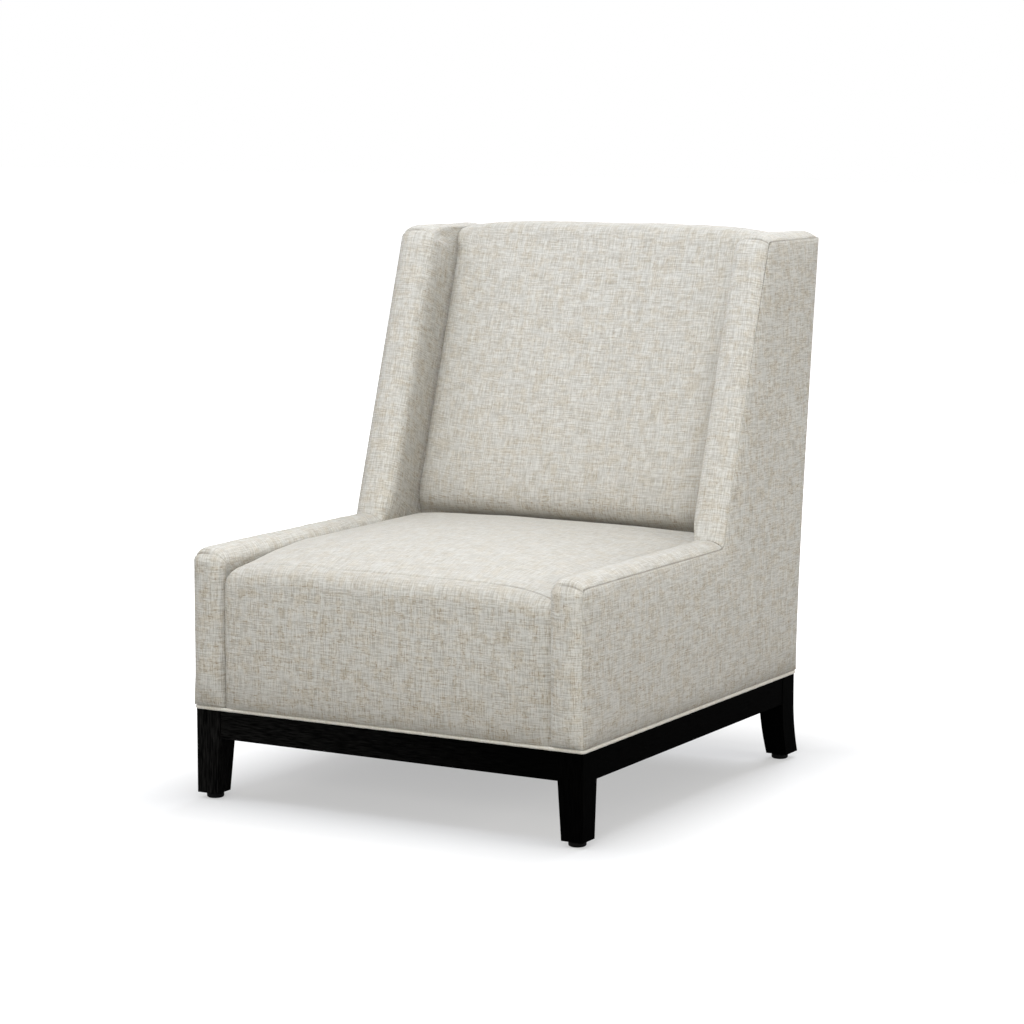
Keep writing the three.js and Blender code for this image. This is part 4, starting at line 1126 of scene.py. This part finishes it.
def eased(node, width, material):
    """Copy of a timber node with merged points, flat faces joined and its edges eased."""
    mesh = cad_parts[node].data.copy()
    form = bmesh.new()
    form.from_mesh(mesh)
    bmesh.ops.remove_doubles(form, verts=form.verts, dist=1e-6)
    bmesh.ops.dissolve_limit(form, angle_limit=math.radians(0.4), verts=form.verts, edges=form.edges)
    form.to_mesh(mesh)
    form.free()
    mesh.shade_smooth()
    mesh.set_sharp_from_angle(angle=math.radians(25))
    piece = added(node + "_timber", mesh)
    modified(piece, "eased", "BEVEL", width=width, segments=3, limit_method="ANGLE",
             angle_limit=math.radians(25), harden_normals=True)
    mesh.materials.clear()
    put_on(piece, material, "chair", "dark_wood", node)
    return piece


corners = [f"{side}_{end}" for side in ("left", "right") for end in ("front", "rear")]
timber = [eased(f"{end}_apron", apron_ease, timber_x) for end in ("front", "rear")]
timber += [eased(f"{side}_side_apron", apron_ease, timber_y) for side in ("left", "right")]
timber += [eased(f"{corner}_leg", leg_ease, timber_z) for corner in corners]
print("timber:", len(timber), "pieces")

# %% [markdown]
# ## Levelling glides
# Each leg stands on a black pad on a threaded stem. The pad is a turned profile with a fine edge. The
# thread is a surface of two parameters: the angle round the stem and the height, and its radius is a
# wave of the height less a pitch's share of the angle, which is what makes a screw.

# %% Glides
def carried_round(radius, height, turn):
    """Surface about an upright axis: the radius at each height, carried round the angles."""
    turn = turn[:, None]
    points = coords(radius * np.cos(turn), radius * np.sin(turn), height)
    return points, grid_quads(*points.shape[:2], wrap_rows=True)


def thread_surface(low, high, size, pitch=1.25, depth=0.65):
    """Stem whose radius is its size less a triangle wave of height / pitch - angle / turn."""
    turn = circle(24)
    height = np.linspace(low, high, int((high - low) / pitch * 6))
    wave = np.abs(((height[None] / pitch - turn[:, None] / (2 * math.pi)) % 1) * 2 - 1)
    end = smoothstep(np.minimum(height - low, high - height), 0, 1.2)[None]
    return carried_round(size - depth * wave * end - 0.9 * (1 - end), height, turn)


def capped(points, quads):
    """Closes a tube's two open ends with a point in the middle of each."""
    sides, rings = points.shape[:2]
    flat = points.reshape(-1, 3)
    ends = np.stack([points[:, 0].mean(axis=0), points[:, -1].mean(axis=0)])
    index = np.arange(sides * rings).reshape(sides, rings)
    after = np.roll(index, -1, axis=0)
    low, high = len(flat), len(flat) + 1
    first = coords(index[:, 0], low, low, after[:, 0])
    last = coords(after[:, -1], high, high, index[:, -1])
    return np.concatenate([flat, ends]), np.concatenate([quads, first, last])


pad_profile = np.array([
    (0.01, 0), (10.5, 0), (11.9, 0.25), (13.2, 1.2), (13.9, 2.3), (14.0, 3.2), (14.0, 6.4), (13.9, 7.2),
    (13.2, 8.3), (12.2, 9.1), (11.4, 9.4), (4.6, 9.4), (4.3, 9.1), (4.3, 3.6), (4.1, 3.4), (0.01, 3.4)])


def glide(corner):
    """Pad and stem of one glide, where their nodes are."""
    low, high = (np.array(part) * 1000 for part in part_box(f"{corner}_glide_pad"))
    stem_low, stem_high = (np.array(part) * 1000 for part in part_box(f"{corner}_glide_stem"))
    x, y = (low[0] + high[0]) / 2, (low[1] + high[1]) / 2
    made = []
    for kind, (points, quads), finish, slot in (
            ("pad", carried_round(*pad_profile.T, circle(48)), black_plastic, "black_plastic"),
            ("stem", capped(*thread_surface(stem_low[2], stem_high[2], 4.0)), steel, "steel")):
        points = points.reshape(-1, 3) + (x, y + centre_depth, 0)
        piece = mesh_piece(f"{corner}_glide_{kind}_turned", metres(points), quads[:, ::-1])
        clean = bmesh.new()
        clean.from_mesh(piece.data)
        bmesh.ops.remove_doubles(clean, verts=clean.verts, dist=2e-5)
        bmesh.ops.recalc_face_normals(clean, faces=clean.faces)
        clean.to_mesh(piece.data)
        clean.free()
        put_on(piece, finish, f"{corner}_glide", slot, f"{corner}_glide_{kind}")
        made.append(piece)
    return made


glides = [glide(corner) for corner in corners]
print("glides:", len(glides))

# %% [markdown]
# ## Inside the chair
# The frame, springs and bolts are right as they are, and take their finishes. The straps and the
# decking over the springs are cloth, so each gets its own woven piece.

# %% Hidden frame
def dress(material, *nodes):
    for node in nodes:
        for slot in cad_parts[node].material_slots:
            slot.material = material


dress(plywood, "left_side_panel", "right_side_panel")
dress(hardwood_x, "seat_front_rail", "seat_rear_rail", "back_top_rail", "back_lower_rail")
dress(hardwood_x, *[f"{corner}_corner_block" for corner in corners])
dress(hardwood_z, "left_back_post", "right_back_post")
dress(steel, *[f"{corner}_leg_insert" for corner in corners], *[f"{corner}_base_bolt" for corner in corners])
dress(spring_steel, "spring_tie_wire", *[f"seat_spring_{count}" for count in range(1, 6)])


def strap(node, wall):
    """Woven strap or sheet between the corners of its node's box, following its upper face."""
    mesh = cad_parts[node].data
    corner = np.empty(len(mesh.vertices) * 3, np.float32)
    mesh.vertices.foreach_get("co", corner)
    corner = corner.reshape(-1, 3) * 1000
    lying = node == "seat_decking"
    free = 1 if lying else 2
    spots = np.unique(np.round(corner[:, free], 1))
    level = np.array([corner[np.abs(corner[:, free] - spot) < 0.06][:, 3 - free].min() for spot in spots])
    along = np.linspace(spots[0], spots[-1], 40)
    depth = np.interp(along, spots, level)
    wide = np.linspace(corner[:, 0].min(), corner[:, 0].max(), 60)
    x, run = np.meshgrid(wide, along, indexing="ij")
    other = depth + wall * 0.05
    points = coords(x, run, other + wall) if lying else coords(x, other, run)
    points[..., 1] += centre_depth
    cloth = coords(x, run - spots[0]) * 0.001
    piece = shell(node + "_woven", points, cloth, wall=wall, flip=True)
    put_on(piece, strap_cloth, "chair", "webbing", node)
    return piece


straps = [strap(f"back_webbing_{count}", 1.8) for count in (1, 2, 3)]
straps.append(strap("seat_decking", 2.6))
print("straps:", len(straps))

# %% Cloth, riding and what each piece replaces
covers = {
    bands[0]: ("right_band_cover", "right_side_padding"), bands[1]: ("left_band_cover", "left_side_padding"),
    flanks[0]: ("right_flank_cover",), flanks[1]: ("left_flank_cover",),
    front_panel: ("front_panel_cover",), seat_cushion: ("seat_cover", "seat_foam"),
    back_cushion: ("inside_back_cover", "back_foam"), rear_panel: ("outside_back_cover",),
}
for piece, nodes in covers.items():
    put_on(piece, cover_cloth, "chair", "cover_fabric", *nodes)
put_on(welt_cord, welt_cloth, "chair", "welt_fabric", "base_welt")
put_on(under_sheet, dust_cloth, "chair", "dust_cloth", "dust_cover")
print("covers:", len(covers) + 2)

# %% [markdown]
# ## Light and floor
# The photograph has a pure white ground with one soft grey shadow under the chair, as from a broad
# light overhead. The floor is a pale surface that also glows for the camera, a painted light: a little
# under half white beneath the chair, and full white from half a metre outside its footprint, so the
# weaker glow near the chair paints part of the shadow's soft edge. So open floor reaches white while the
# shadow stays a light grey, and the lamps never have to burn the cloth.

# %% Floor, world and lamps
def floor_finish(seen, pale, dull):
    """Matt floor, dull for light that bounces and pale for rays from the camera or a mirror. Those
    also see it glow, a painted light: as much as seen below the chair, and full white half a metre away
    from it, so the weaker glow near the chair paints part of the shadow's edge."""
    finish = Finish("studio_floor")
    rays = finish.node("LightPath")
    path = rays.socket.node
    shown = rays.math("MAXIMUM", Wire(path.outputs["Is Glossy Ray"]))
    shown = shown.math("MAXIMUM", Wire(path.outputs["Is Transmission Ray"]))

    def vectors(operation, *values, out=0):
        return finish.node("VectorMath", {"operation": operation}, dict(enumerate(values)), out=out)

    # Painted light and shadow: the glow rises from the footprint's edge to full white half a metre out.
    past = vectors("SUBTRACT", vectors("ABSOLUTE", finish.place()), (0.36, 0.41, 0.0))
    away = vectors("LENGTH", vectors("MAXIMUM", past, (0.0, 0.0, 0.0)), out=1)
    glow = finish.node("Emission", None, {
        "Color": (1.0, 1.0, 1.0), "Strength": shown * (seen + away.step(0.0, 0.5) * (1.05 - seen))})
    matt = finish.node("BsdfDiffuse", None, {
        "Color": finish.mix(shown, (dull, dull, dull), (pale, pale, pale))})
    return finish.finish(finish.node("AddShader", None, {0: glow, 1: matt}))


floor = mesh_piece("floor", [(-30, -30, 0), (30, -30, 0), (30, 30, 0), (-30, 30, 0)], [(0, 1, 2, 3)])
floor.data.materials.append(floor_finish(0.435, 0.42, 0.25))

world = bpy.data.worlds.new("studio")
bpy.context.scene.world = world
world.use_nodes = True
world_tree = world.node_tree
world_tree.nodes.clear()
light_path = world_tree.nodes.new("ShaderNodeLightPath")
background = world_tree.nodes.new("ShaderNodeBackground")
surround = 0.3
background.inputs["Color"].default_value = (1.0, 1.0, 1.0, 1.0)
camera_ray, glossy_ray = (Wire(light_path.outputs[f"Is {kind} Ray"]) for kind in ("Camera", "Glossy"))
seen_rays = camera_ray.math("MAXIMUM", glossy_ray)
feed(background.inputs["Strength"], seen_rays * (1.0 - surround) + surround)
world_tree.links.new(background.outputs[0], world_tree.nodes.new("ShaderNodeOutputWorld").inputs[0])


def soft_lamp(name, place, target, width, height, power, colour):
    """Area lamp that faces a target."""
    data = bpy.data.lights.new(name, "AREA")
    data.shape = "RECTANGLE"
    data.size, data.size_y = width, height
    data.energy = power
    data.color = colour
    place = Vector(place)
    added(name, data).matrix_world = aimed(place, Vector(target) - place)


seat_middle = (0, 0, 0.5)
soft_lamp("overhead", (0.0, -0.1, 6.0), (0.0, 0.001, 0.0), 5.0, 5.0, 79, (1.0, 1.0, 0.93))
soft_lamp("near", (0.1, -0.7, 2.1), seat_middle, 1.2, 1.2, 13, (0.93, 1.0, 1.15))
soft_lamp("front", (0.8, -4.5, 1.6), seat_middle, 3.0, 2.0, 100, (1.02, 1.0, 0.94))
soft_lamp("right", (3.5, 0.1, 1.1), seat_middle, 2.0, 1.0, 45.5, (1.02, 1.0, 0.96))
soft_lamp("left", (-2.6, -1.0, 3.0), seat_middle, 2.0, 2.0, 19.5, (1.03, 1.0, 1.03))
soft_lamp("rear", (0.0, 5.6, 5.5), seat_middle, 4.0, 4.0, 330, (0.98, 1.0, 1.07))
bpy.context.scene.view_settings.view_transform = "Standard"
